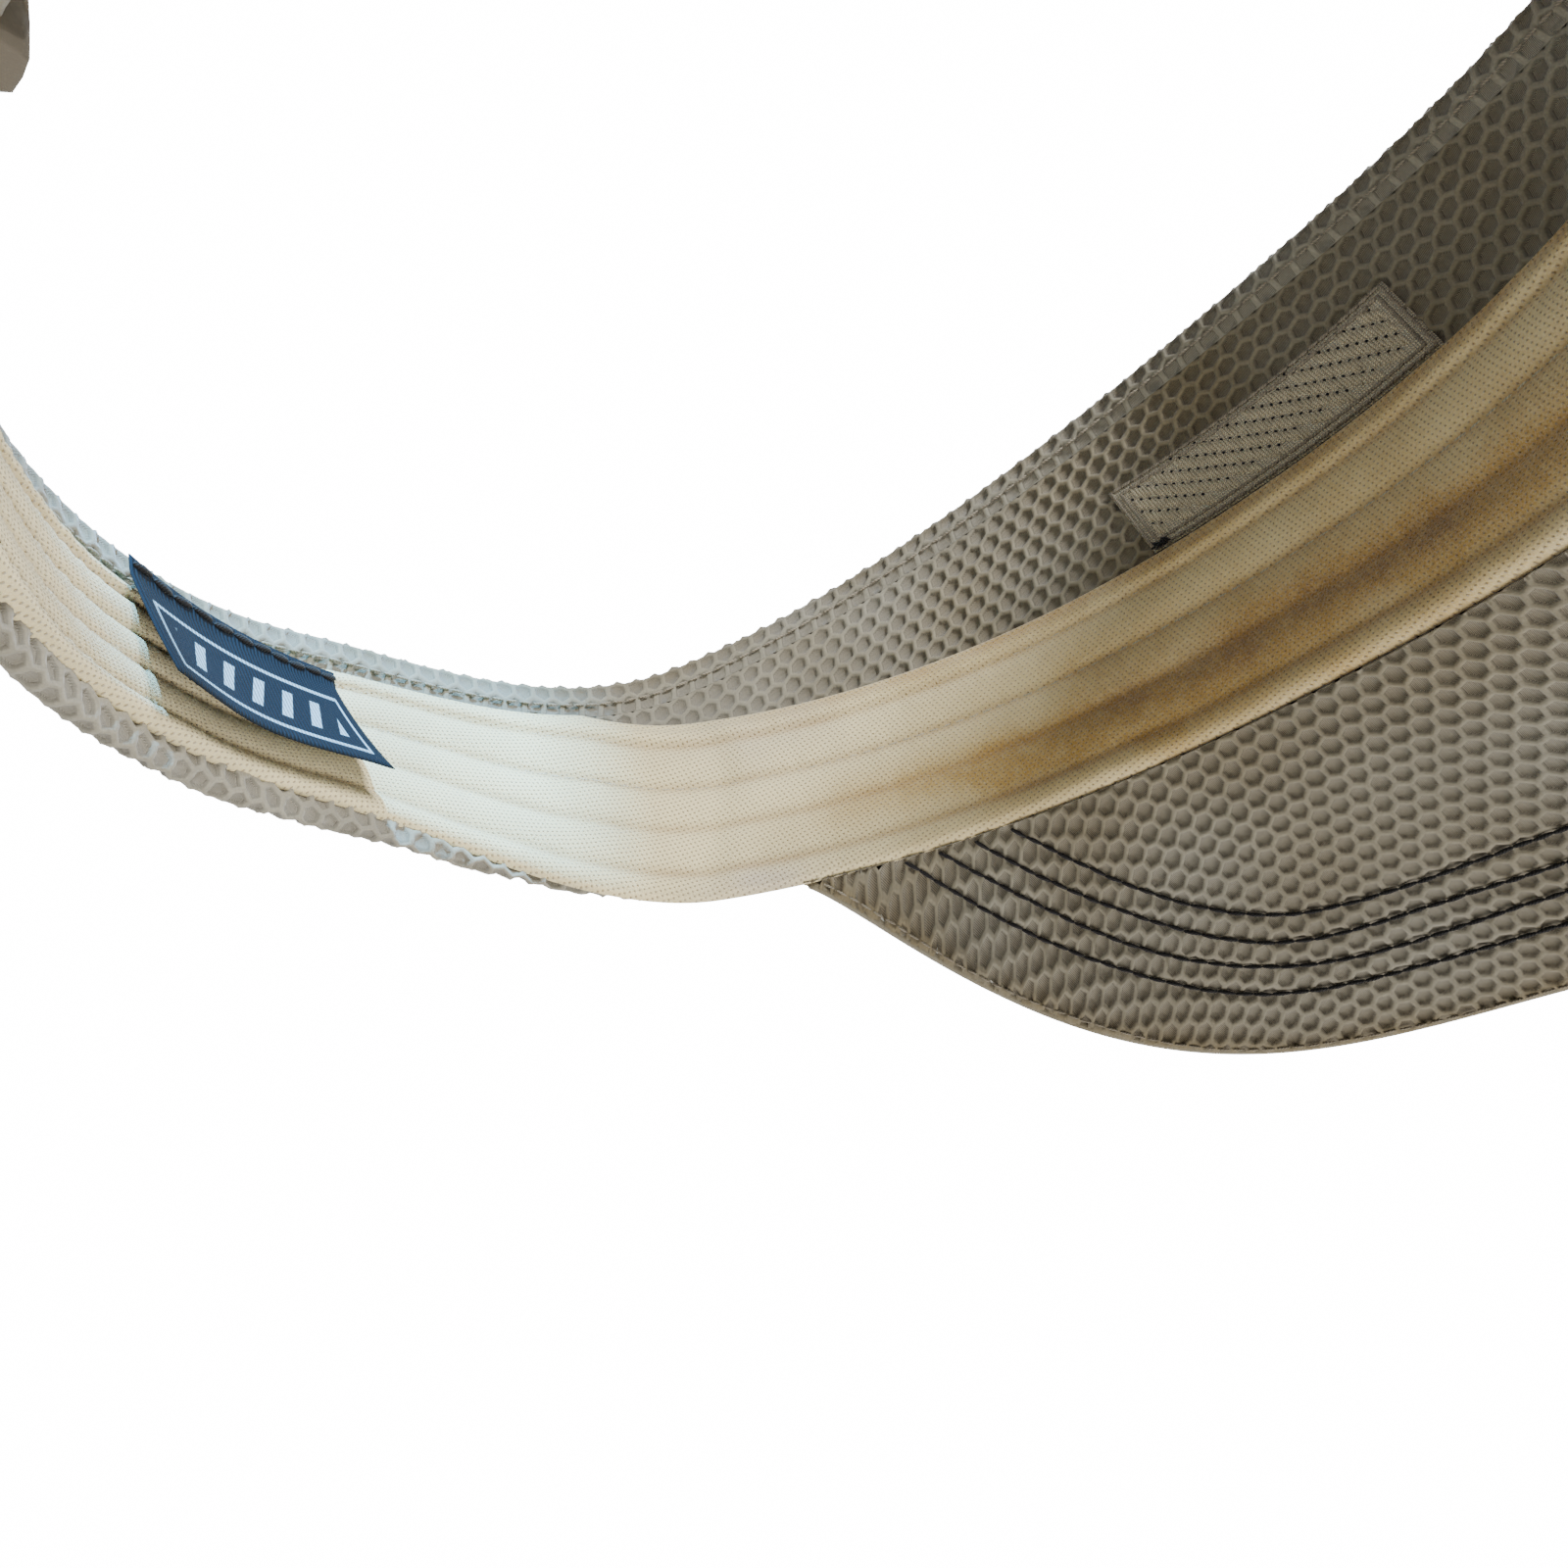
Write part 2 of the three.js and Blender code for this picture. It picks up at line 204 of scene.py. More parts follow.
def peak_spot(across, forward):
    """The length along and the reach under a spot of the peak's cloth, laid straight across and forward."""
    along = np.clip(across * 1.05, -94, 94)
    reach = np.full_like(along, 25.0)
    flank = (across / 80) ** 2
    ahead = RING_HALF_DEPTH + forward * math.cos(PEAK_SLOPE) * (1 - 0.16 * flank)
    aim = np.stack([across * (1 + 0.12 * flank), -ahead], 1)
    small = 0.01
    for _ in range(16):
        here = peak_middle(along, reach)[:, :2]
        by_along = (peak_middle(along + small, reach)[:, :2] - here) / small
        by_reach = (peak_middle(along, reach + small)[:, :2] - here) / small
        miss = aim - here
        area = by_along[:, 0] * by_reach[:, 1] - by_along[:, 1] * by_reach[:, 0]
        area = np.where(np.abs(area) < 0.05, 0.05 * np.sign(area + 1e-9), area)
        along_step = (miss[:, 0] * by_reach[:, 1] - miss[:, 1] * by_reach[:, 0]) / area
        reach_step = (by_along[:, 0] * miss[:, 1] - by_along[:, 1] * miss[:, 0]) / area
        along = np.clip(along + np.clip(along_step, -15, 15), -130, 130)
        reach = np.clip(reach + np.clip(reach_step, -15, 15), -40, 110)
    return along, reach


def ring_shift():
    """Where the part puts the ring, found from the outer band's own box."""
    steps = round(2 * BAND_END / FACET)
    along = np.linspace(-BAND_END, BAND_END, steps + 1)
    rims = [wall(along, height, out) for height in (-hem_drop(along), band_height(along)) for out in (0, KNIT)]
    low = tilt(np.concatenate(rims)).min(0)
    corner = np.array(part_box("outer_band")[0]) * 1000
    return np.array([0, corner[1] - low[1], corner[2] - low[2]])


def tilt(points):
    turn = np.array(Matrix.Rotation(-STAND_TILT, 3, "X"))
    return points @ turn.T


RING_SHIFT = ring_shift()


def stand(points):
    """Ring points, in millimetres, as the part's own, in metres."""
    return (tilt(points) + RING_SHIFT) / 1000


def wall_spot(along, height, out):
    """One point of the wall in the part's frame, in metres."""
    return Vector(stand(wall([along], [height], [out]))[0])


def ripple(x, y, size, seed):
    """A soft, repeatable unevenness between -1 and 1, for lumps about so many millimetres across."""
    x, y = x / size, y / size
    waves = (np.sin(1.7 * x + 0.9 * y + seed) + np.sin(-1.1 * x + 1.9 * y + 2.3 * seed)
             + np.sin(2.9 * x - 0.7 * y + 3.1 * seed) + np.sin(0.6 * x + 3.1 * y + 4.7 * seed))
    return waves / 4


# ---------------------------------------------------------------- making meshes

def line_up(bm, step, copies, drawn=False):
    """Copies everything in bm again and again, each copy one step further on, or draws it out in one length."""
    bmesh.ops.spin(bm, geom=bm.verts[:] + bm.edges[:] + bm.faces[:], cent=(0, 0, 0), axis=(0, 0, 1), dvec=step,
                   angle=0, steps=copies, use_duplicate=not drawn)


def honeycomb_sheet(knit, low, high, keep):
    """A flat sheet of sunken hexagon cells in rows along X, where keep says yes to a cell's centre."""
    pitch = knit.pitch * 1000
    rise = pitch * math.sqrt(3) / 2
    bm = bmesh.new()
    for odd in (0, 1):
        bmesh.ops.create_circle(
            bm, cap_ends=True, segments=6, radius=pitch / math.sqrt(3),
            matrix=Matrix.Translation((low[0] + odd * pitch / 2, low[1] + odd * rise, 0)))
    line_up(bm, (pitch, 0, 0), int((high[0] - low[0]) / pitch))
    line_up(bm, (0, 2 * rise, 0), int((high[1] - low[1]) / (2 * rise)))
    centres = np.array([face.calc_center_median() for face in bm.faces])
    kept = keep(centres[:, 0], centres[:, 1])
    bmesh.ops.delete(bm, geom=[f for f, stays in zip(bm.faces[:], kept) if not stays], context="FACES")
    bmesh.ops.remove_doubles(bm, verts=bm.verts[:], dist=pitch / 50)
    bm.normal_update()
    bmesh.ops.reverse_faces(bm, faces=[f for f in bm.faces if f.normal.z < 0])
    corners = len(bm.verts)
    bmesh.ops.subdivide_edges(bm, edges=bm.edges[:], cuts=1)
    bm.verts.ensure_lookup_table()
    knots, waists = bm.verts[:corners], bm.verts[corners:]
    cells = bm.faces[:]
    depth = knit.pit_depth * 1000
    ridge = (1 - knit.pit_share) * pitch / 2
    for inset, sink in ((0.55 * ridge, 0.14 * depth), (0.45 * ridge, 0.86 * depth)):
        bmesh.ops.inset_individual(bm, faces=cells, thickness=inset, depth=-sink, use_even_offset=True)
    bmesh.ops.translate(bm, verts=knots, vec=(0, 0, 0.14 * depth))
    bmesh.ops.translate(bm, verts=waists, vec=(0, 0, -0.2 * depth))
    for vert in bm.verts:
        x, y = vert.co.x, vert.co.y
        vert.co.x += 0.035 * pitch * math.sin(1.3 * y + 0.31 * x) * math.cos(0.83 * x)
        vert.co.y += 0.03 * pitch * math.sin(1.1 * x + 0.37 * y) * math.cos(0.71 * y)
    return bm


def slab(low, high, thickness, step, rim=None):
    """A closed flat sheet of cloth between two corners, its top face at z = 0 and its rim rounded."""
    bm = bmesh.new()
    size = Vector(high) - Vector(low)
    counts = [max(2, round(size[axis] / step[axis])) for axis in (0, 1)]
    bmesh.ops.create_grid(bm, x_segments=counts[0], y_segments=counts[1], size=0.5)
    bmesh.ops.scale(bm, verts=bm.verts[:], vec=(size[0], size[1], 1))
    bmesh.ops.translate(bm, verts=bm.verts[:], vec=((low[0] + high[0]) / 2, (low[1] + high[1]) / 2, 0))
    bmesh.ops.solidify(bm, geom=bm.faces[:], thickness=thickness)
    top = max(vert.co.z for vert in bm.verts)
    bmesh.ops.translate(bm, verts=bm.verts[:], vec=(0, 0, -top))
    bmesh.ops.recalc_face_normals(bm, faces=bm.faces[:])
    rim = rim or thickness
    for vert in bm.verts:
        near = min(vert.co.x - low[0], high[0] - vert.co.x, vert.co.y - low[1], high[1] - vert.co.y)
        swell = math.sqrt(max(0, 1 - (1 - min(near / rim, 1)) ** 2))
        vert.co.z = -thickness / 2 + (vert.co.z + thickness / 2) * max(0.3, swell)
    return bm


def add_stitches(bm, spots, length, radius, sides=6):
    """Adds a spindle of thread at each (x, y, z, turn), lying along X before it is turned."""
    lie = Matrix.Rotation(math.pi / 2, 4, "Y") @ Matrix.Diagonal((radius, radius, length / 2, 1))
    for x, y, z, turn in spots:
        place = Matrix.Translation((x, y, z)) @ Matrix.Rotation(turn, 4, "Z") @ lie
        bmesh.ops.create_uvsphere(bm, u_segments=sides, v_segments=4, radius=1, matrix=place)


def seam(length, stitch, radius, wander=0.0, gap=0.92):
    """A straight run of lock-stitches along X, each dipping into the cloth at its ends."""
    bm = bmesh.new()
    count = max(1, round(length / stitch))
    step = length / count
    spots = [((i + 0.5) * step, wander * math.sin(1.9 * i), 0, 0.05 * math.sin(2.7 * i)) for i in range(count)]
    add_stitches(bm, spots, step * gap, radius)
    return bm


def roll(length, steps, across, thick):
    """A closed, straight roll of cloth along X."""
    bm = bmesh.new()
    upright = Matrix.Rotation(math.pi / 2, 4, "Y")
    bmesh.ops.create_circle(bm, cap_ends=True, segments=10, radius=1, matrix=upright)
    bmesh.ops.scale(bm, verts=bm.verts[:], vec=(1, across, thick))
    line_up(bm, (length / steps, 0, 0), steps, drawn=True)
    bmesh.ops.recalc_face_normals(bm, faces=bm.faces[:])
    return bm


def put(name, data, place=(0, 0, 0), turn=(0, 0, 0)):
    """Adds an object to the scene."""
    made = bpy.data.objects.new(name, data)
    made.location = place
    made.rotation_euler = turn
    bpy.context.scene.collection.objects.link(made)
    return made


def settle(name, bm, place, material, nodes=(), body="root", masks=None, weld=False):
    """Wraps a flat piece where it belongs, keeps its flat shape as its UV map, and gives it to a body."""
    mesh = bpy.data.meshes.new(name)
    bm.to_mesh(mesh)
    bm.free()
    flat = np.empty(len(mesh.vertices) * 3)
    mesh.vertices.foreach_get("co", flat)
    flat = flat.reshape(-1, 3)
    corners = np.empty(len(mesh.loops), int)
    mesh.loops.foreach_get("vertex_index", corners)
    mesh.uv_layers.new(name="Cloth").data.foreach_set("uv", flat[corners, :2].ravel())
    for mask, values in (masks or {}).items():
        layer = mesh.attributes.new(mask, "FLOAT", "POINT")
        layer.data.foreach_set("value", values(flat).astype(np.float32))
    placed = place(flat)
    sample = flat[:: max(1, len(flat) // 200)]
    start = place(sample)
    ways = [place(sample + 0.01 * np.eye(3)[axis]) - start for axis in range(3)]
    handed = np.einsum("ij,ij->i", np.cross(ways[0], ways[1]), ways[2])
    if np.sum(np.sign(handed)) < 0:
        mesh.flip_normals()
    mesh.vertices.foreach_set("co", stand(placed).ravel())
    if weld:
        bm = bmesh.new()
        bm.from_mesh(mesh)
        bmesh.ops.remove_doubles(bm, verts=bm.verts[:], dist=0.00004)
        bmesh.ops.dissolve_degenerate(bm, edges=bm.edges[:], dist=0.00004)
        bm.to_mesh(mesh)
        bm.free()
    mesh.polygons.foreach_set("use_smooth", np.ones(len(mesh.polygons), bool))
    mesh.materials.append(material)
    mesh.update()
    piece = put(name, mesh)
    if nodes:
        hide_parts(*nodes)
    if body:
        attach(piece, body)
    return piece


# ---------------------------------------------------------------- materials

class Shading:
    """Adds nodes to a material or a group, joining sockets and setting values as they come."""

    def __init__(self, tree):
        self.tree = tree

    def node(self, kind, inputs=None, **settings):
        made = self.tree.nodes.new(kind)
        for key, value in settings.items():
            setattr(made, key, value)
        for key, value in (inputs or {}).items():
            self.join(made.inputs[key], value)
        return made

    def join(self, socket, value):
        if isinstance(value, bpy.types.NodeSocket):
            self.tree.links.new(value, socket)
        elif value is not None:
            socket.default_value = value

    def math(self, operation, first, second=None):
        made = self.node("ShaderNodeMath", operation=operation)
        self.join(made.inputs[0], first)
        self.join(made.inputs[1], second)
        return made.outputs[0]

    def times(self, first, second):
        return self.math("MULTIPLY", first, second)

    def plus(self, first, second):
        return self.math("ADD", first, second)

    def ramp(self, value, low, high, start=0.0, end=1.0):
        made = self.node("ShaderNodeMapRange", interpolation_type="SMOOTHSTEP",
                         inputs={"Value": value, "From Min": low, "From Max": high, "To Min": start, "To Max": end})
        return made.outputs[0]

    def mix(self, share, first, second, blend="MIX"):
        made = self.node("ShaderNodeMix", data_type="RGBA", blend_type=blend)
        self.join(made.inputs[0], share)
        self.join(made.inputs[6], first)
        self.join(made.inputs[7], second)
        return made.outputs[2]

    def noise(self, vector, scale, detail=2.0, roughness=0.55):
        made = self.node("ShaderNodeTexNoise", inputs={
            "Vector": vector, "Scale": scale, "Detail": detail, "Roughness": roughness})
        return made.outputs[0]

    def cloth(self):
        return self.node("ShaderNodeUVMap", uv_map="Cloth").outputs[0]

    def axes(self, vector=None):
        return self.node("ShaderNodeSeparateXYZ", inputs={0: self.cloth() if vector is None else vector}).outputs

    def mask(self, name):
        return self.node("ShaderNodeAttribute", attribute_name=name).outputs["Fac"]

    def bump(self, height, strength, distance):
        made = self.node("ShaderNodeBump", inputs={
            "Height": height, "Strength": strength, "Distance": distance})
        return made.outputs[0]


def make_group(name, sockets_in, sockets_out, build):
    """A shader node group, built once and found again by its name."""
    if name in bpy.data.node_groups:
        return bpy.data.node_groups[name]
    group = bpy.data.node_groups.new(name, "ShaderNodeTree")
    for socket, kind, default in sockets_in:
        made = group.interface.new_socket(name=socket, in_out="INPUT", socket_type=kind)
        if default is not None:
            made.default_value = default
    for socket, kind in sockets_out:
        group.interface.new_socket(name=socket, in_out="OUTPUT", socket_type=kind)
    shading = Shading(group)
    entry = group.nodes.new("NodeGroupInput").outputs
    leave = group.nodes.new("NodeGroupOutput").inputs
    for socket, value in build(shading, entry).items():
        shading.join(leave[socket], value)
    return group


def yarn_group():
    """Fuzz, mottling and a grid of tiny mesh holes, all in millimetres of flat cloth."""
    def build(shading, entry):
        vector = entry["Vector"]
        split = shading.axes(vector)
        turns = shading.math("DIVIDE", 2 * math.pi, entry["Hole Spacing"])
        waves = [shading.math("SINE", shading.times(split[axis], turns)) for axis in (0, 1)]
        grid = shading.times(waves[0], waves[1])
        return {
            "Fuzz": shading.noise(vector, entry["Fuzz Scale"], 4.0, 0.62),
            "Mottle": shading.noise(vector, 0.045, 3.0),
            "Holes": shading.ramp(shading.math("ABSOLUTE", grid), 0.12, 0.7),
        }
    return make_group(
        "Yarn Surface",
        [("Vector", "NodeSocketVector", None), ("Hole Spacing", "NodeSocketFloat", 0.5),
         ("Fuzz Scale", "NodeSocketFloat", 3.0)],
        [("Fuzz", "NodeSocketFloat"), ("Mottle", "NodeSocketFloat"), ("Holes", "NodeSocketFloat")], build)


def cloth_material(name, build, roughness=0.95, sheen=0.25):
    """A matt cloth whose colour, roughness and relief come from build."""
    material = bpy.data.materials.new(name)
    material.use_nodes = True
    shading = Shading(material.node_tree)
    shader = material.node_tree.nodes["Principled BSDF"]
    shader.inputs["Roughness"].default_value = roughness
    shader.inputs["Sheen Weight"].default_value = sheen
    shader.inputs["Sheen Roughness"].default_value = 0.5
    shader.inputs["Specular IOR Level"].default_value = 0.2
    for socket, value in build(shading).items():
        shading.join(shader.inputs[socket], value)
    return material


def yarn(shading, hole_spacing, fuzz_scale):
    made = shading.node("ShaderNodeGroup", node_tree=yarn_group())
    shading.join(made.inputs["Vector"], shading.cloth())
    shading.join(made.inputs["Hole Spacing"], hole_spacing)
    shading.join(made.inputs["Fuzz Scale"], fuzz_scale)
    return made.outputs


def honeycomb_material(knit):
    def build(shading):
        surface = yarn(shading, 0.42, 2.2)
        pit = shading.mask("pit")
        ridge = shading.mix(shading.ramp(surface["Mottle"], 0.35, 0.65), tint(knit.ridge_colour, 0.9),
                            tint(knit.ridge_colour, 1.06))
        ridge = shading.mix(shading.ramp(surface["Fuzz"], 0.3, 0.75, 0, 0.55), ridge,
                            tint(knit.ridge_colour, 0.72))
        floor = shading.mix(surface["Holes"], tint(knit.pit_and_shade_colour, 0.5), tint(knit.pit_and_shade_colour, 1.25))
        # Painted shade: the walls of each pit are darkened towards a very dark pit colour, standing in for the shadow
        # inside the pit.
        painted_wall_shade = shading.times(shading.ramp(pit, 0.02, 0.4, 0, 0.4), shading.ramp(pit, 0.7, 1.0, 1, 0))
        colour = shading.mix(shading.ramp(pit, 0.5, 0.95), ridge, floor)
        colour = shading.mix(painted_wall_shade, colour, tint(knit.pit_and_shade_colour, 0.22))
        colour = shading.mix(shading.mask("grime"), colour, tint(knit.grime_colour, 1), "MULTIPLY")
        relief = shading.plus(shading.times(surface["Fuzz"], 0.8),
                              shading.times(surface["Holes"], shading.times(pit, 0.7)))
        return {"Base Color": colour, "Normal": shading.bump(relief, 0.55, 0.0003),
                "Roughness": shading.ramp(surface["Fuzz"], 0.2, 0.8, 0.85, 1.0)}
    return cloth_material("Honeycomb Knit", build)


def tint(colour, share):
    return (*[min(1, channel * share) for channel in colour[:3]], 1)


def thread_material(name, colour, twist=0.55):
    def build(shading):
        split = shading.axes()
        lay = shading.plus(shading.times(split[0], 2 * math.pi / twist),
                           shading.times(split[1], 2 * math.pi / 0.45))
        strand = shading.ramp(shading.math("SINE", lay), -1, 1)
        wear = shading.noise(shading.cloth(), 0.5, 2.0)
        base = shading.mix(shading.ramp(wear, 0.3, 0.7), tint(colour, 0.82), tint(colour, 1.12))
        return {"Base Color": shading.mix(strand, tint(colour, 0.62), base),
                "Normal": shading.bump(strand, 0.6, 0.00012), "Roughness": shading.ramp(wear, 0.2, 0.8, 0.55, 0.8)}
    return cloth_material(name, build, 0.7, 0.1)


def sweatband_material(pad):
    def build(shading):
        surface = yarn(shading, 1.15, 3.4)
        split = shading.axes()
        lean = shading.times(split[1], 0.6)
        courses = ((shading.plus(split[0], lean), 1.5),
                   (shading.math("SUBTRACT", split[1], shading.times(split[0], 0.35)), 1.05))
        lines = [shading.math("SINE", shading.times(value, 2 * math.pi / size)) for value, size in courses]
        holes = shading.ramp(shading.times(lines[0], lines[1]), 0.45, 0.95)
        fresh = shading.mix(shading.ramp(surface["Mottle"], 0.3, 0.7), tint(pad.colour, 0.88),
                            tint(pad.colour, 1.05))
        # The stain mask carries real stains and painted shade on the front.
        worn_and_shaded = shading.mix(shading.times(shading.mask("stain_and_shade"), shading.ramp(
            shading.noise(shading.cloth(), 0.35, 4.0, 0.7), 0.25, 0.62, 0.72, 1.0)), fresh,
            tint(pad.stain_and_shade_colour, 1))
        deep = shading.times(shading.mask("deep_stain"), shading.ramp(
            shading.noise(shading.cloth(), 0.6, 5.0, 0.75), 0.3, 0.6, 0.35, 1.0))
        worn_and_shaded = shading.mix(deep, worn_and_shaded, tint(pad.deep_stain_and_shade_colour, 1))
        worn_and_shaded = shading.mix(shading.mask("mauve"), worn_and_shaded, tint(pad.mauve_colour, 1))
        # Painted shade with dirt: the quilting's grooves are darkened towards the deep stain colour.
        worn_and_shaded = shading.mix(shading.times(shading.mask("groove"), 0.55), worn_and_shaded, tint(pad.deep_stain_and_shade_colour, 1.3))
        worn_and_shaded = shading.mix(shading.times(holes, 0.6), worn_and_shaded, tint(pad.deep_stain_and_shade_colour, 0.8))
        worn_and_shaded = shading.mix(shading.ramp(surface["Fuzz"], 0.35, 0.8, 0, 0.22), worn_and_shaded, (1, 0.95, 0.82, 1))
        relief = shading.math("SUBTRACT", shading.times(surface["Fuzz"], 0.7),
                              shading.times(holes, 0.8))
        return {"Base Color": worn_and_shaded, "Normal": shading.bump(relief, 0.9, 0.0004),
                "Roughness": shading.ramp(surface["Fuzz"], 0.2, 0.8, 0.88, 1.0)}
    return cloth_material("Brushed Sweatband", build, sheen=0.35)


def webbing_material(name, colour, rib):
    def build(shading):
        surface = yarn(shading, rib, 2.8)
        split = shading.axes()
        course = shading.math("SINE", shading.times(split[1], 2 * math.pi / rib))
        ribs = shading.times(shading.ramp(course, -1, 1), surface["Holes"])
        base = shading.mix(surface["Mottle"], tint(colour, 0.85), tint(colour, 1.12))
        base = shading.mix(shading.ramp(ribs, 0, 0.7), tint(colour, 0.5), base)
        relief = shading.plus(ribs, shading.times(surface["Fuzz"], 0.5))
        return {"Base Color": base, "Normal": shading.bump(relief, 0.7, 0.0003)}
    return cloth_material(name, build)


def tape_material(name, colour, grain):
    def build(shading):
        surface = yarn(shading, grain, 1.6)
        base = shading.mix(surface["Holes"], tint(colour, 0.45), tint(colour, 1.1))
        base = shading.mix(shading.ramp(surface["Fuzz"], 0.35, 0.7), base, tint(colour, 0.7))
        relief = shading.plus(surface["Holes"], surface["Fuzz"])
        return {"Base Color": base, "Normal": shading.bump(relief, 0.9, 0.0005)}
    return cloth_material(name, build, 0.8, 0.4)


def label_material(label):
    """Ribbed navy weave with a light frame line and a row of plain slanted bars."""
    def build(shading):
        surface = yarn(shading, 0.55, 3.0)
        split = shading.axes()
        along, up = split[0], split[1]
        ribs = shading.ramp(shading.math("SINE", shading.times(along, 2 * math.pi / 0.8)), -1, 1)

        def near(value, middle, half):
            off = shading.math("ABSOLUTE", shading.math("SUBTRACT", value, middle))
            return shading.ramp(off, half, half + 0.12, 1, 0)

        off_middle = shading.math("ABSOLUTE", shading.math("SUBTRACT", along, LABEL_LENGTH / 2))
        off_centre = shading.math("ABSOLUTE", shading.math("SUBTRACT", up, 7.4))
        upright = shading.times(near(off_middle, 20.2, 0.26), shading.ramp(off_centre, 5.1, 5.2, 1, 0))
        level = shading.times(near(off_centre, 5.0, 0.26), shading.ramp(off_middle, 20.3, 20.4, 1, 0))
        frame_line = shading.math("MAXIMUM", upright, level)
        slanted = shading.plus(along, shading.times(up, 0.55))
        stripe = shading.math("PINGPONG", slanted, 3.1)
        bars = shading.times(shading.ramp(stripe, 1.9, 2.05), shading.times(
            shading.ramp(off_centre, 2.7, 2.8, 1, 0), shading.ramp(off_middle, 17.0, 17.2, 1, 0)))
        mark = shading.math("MAXIMUM", frame_line, bars)
        mark = shading.times(mark, shading.ramp(surface["Fuzz"], 0.25, 0.6, 0.55, 1.0))
        base = shading.mix(ribs, tint(label.colour, 0.55), tint(label.colour, 1.25))
        base = shading.mix(shading.ramp(surface["Mottle"], 0.4, 0.7, 0, 0.3), base, tint(label.colour, 1.7))
        relief = shading.plus(ribs, shading.times(surface["Fuzz"], 0.4))
        return {"Base Color": shading.mix(mark, base, tint(label.line_colour, 1)),
                "Normal": shading.bump(relief, 0.8, 0.0002), "Roughness": shading.ramp(ribs, 0, 1, 0.7, 0.9)}
    return cloth_material("Woven Label", build, 0.8, 0.0)


def board_material():
    """Milky plastic sheet, faintly grained."""
    def build(shading):
        place = shading.node("ShaderNodeTexCoord").outputs["Object"]
        grain = shading.noise(place, 900.0, 3.0)
        return {"Base Color": shading.mix(grain, (0.60, 0.59, 0.54, 1), (0.72, 0.71, 0.66, 1)),
                "Roughness": shading.ramp(grain, 0.3, 0.7, 0.42, 0.58), "Normal": shading.bump(grain, 0.2, 0.0002)}
    return cloth_material("Peak Board", build, 0.5, 0.0)


def shared(name, make, *details):
    """A material, made the first time that it is asked for."""
    return bpy.data.materials.get(name) or make(*details)


def thread_of(threads, which):
    colours = {"Black Thread": threads.dark, "Cream Thread": threads.cream, "Taupe Thread": threads.taupe}
    return shared(which, thread_material, which, colours[which])


# ---------------------------------------------------------------- sizes and colours

def a_length(name, description, default):
    return FloatProperty(name=name, description=description, default=default, unit="LENGTH")


def a_colour(name, description, *default):
    return FloatVectorProperty(name=name, description=description, default=default, subtype="COLOR")


class VisorKnitSettings(bpy.types.PropertyGroup):
    """The honeycomb spacer knit of the band and the peak."""
    pitch: a_length("Pitch", "Distance between the pits", 0.0037)
    pit_depth: a_length("Pit Depth", "How deep the pits are", 0.00075)
    pit_share: FloatProperty(
        name="Pit Share", description="Width of a pit as a share of the pitch", default=0.63, subtype="FACTOR")
    ridge_colour: a_colour("Ridge Colour", "Raised knit between the pits", 0.268, 0.248, 0.194)
    # The pit colour is also the base of the painted shade on the pit walls.
    pit_and_shade_colour: a_colour("Pit Colour", "Mesh at the bottom of the pits", 0.248, 0.226, 0.178)
    grime_colour: a_colour("Grime Colour", "Soiling near edges and hems", 0.72, 0.63, 0.47)


class VisorSweatbandSettings(bpy.types.PropertyGroup):
    """The quilted sweatband."""
    puff: a_length("Puff", "How far the quilting stands out", 0.0012)
    colour: a_colour("Colour", "Unworn cloth", 0.74, 0.62, 0.33)
    # The stain colour also darkens the sweatband's front as painted shade.
    stain_and_shade_colour: a_colour("Stain Colour", "Golden wear", 0.43, 0.26, 0.055)
    # The deep colour also darkens the quilting's grooves as painted shade.
    deep_stain_and_shade_colour: a_colour("Deep Stain Colour", "Darkest wear", 0.22, 0.105, 0.02)
    mauve_colour: a_colour("Mauve Mark Colour", "Greyish mark by the temple", 0.42, 0.36, 0.38)


class VisorThreadSettings(bpy.types.PropertyGroup):
    """Sewing and embroidery thread."""
    stitch: a_length("Stitch", "Length of one lock-stitch", 0.0026)
    row_stitch: a_length("Row Stitch", "Length of a stitch in the peak's dark rows", 0.0031)
    dark: a_colour("Dark Thread", "Peak rows and label thread", 0.012, 0.011, 0.012)
    cream: a_colour("Cream Thread", "Sweatband and emblem thread", 0.58, 0.51, 0.36)
    taupe: a_colour("Taupe Thread", "Hem thread", 0.30, 0.26, 0.195)


class VisorLabelSettings(bpy.types.PropertyGroup):
    """The woven label inside the left arm."""
    lift: FloatProperty(
        name="Lift", description="How far its free edge stands off", default=math.radians(14), subtype="ANGLE")
    colour: a_colour("Ground", "Navy ground weave", 0.003, 0.008, 0.0155)
    line_colour: a_colour("Figure", "Light figure weave", 0.27, 0.36, 0.42)


class VisorStrapSettings(bpy.types.PropertyGroup):
    """The closure strap and its hook-and-loop tape."""
    width: a_length("Width", "Width of the strap", 0.017)
    colour: a_colour("Webbing", "Strap webbing", 0.26, 0.225, 0.17)
    tape_colour: a_colour("Tape", "Hook and loop tape", 0.36, 0.32, 0.25)


class VisorStageSettings(bpy.types.PropertyGroup):
    """Floor, lights and camera."""
    floor_colour: a_colour("Floor", "Pale floor", 0.80, 0.79, 0.77)
    key_power: FloatProperty(name="Key Power", description="Strength of the main light", default=5.0, unit="POWER")
    lens: FloatProperty(name="Lens", description="Focal length on a 36 mm wide sensor", default=27.0, unit="CAMERA")
    camera_place: FloatVectorProperty(
        name="Camera Place", description="Where the camera stands, below and behind the visor",
        default=(-0.0767, 0.08863, -0.06172), subtype="TRANSLATION")
    camera_turn: FloatVectorProperty(
        name="Camera Turn", description="Which way the camera looks",
        default=(math.radians(119.101), math.radians(-0.831), math.radians(-124.034)), subtype="EULER")


# ---------------------------------------------------------------- band

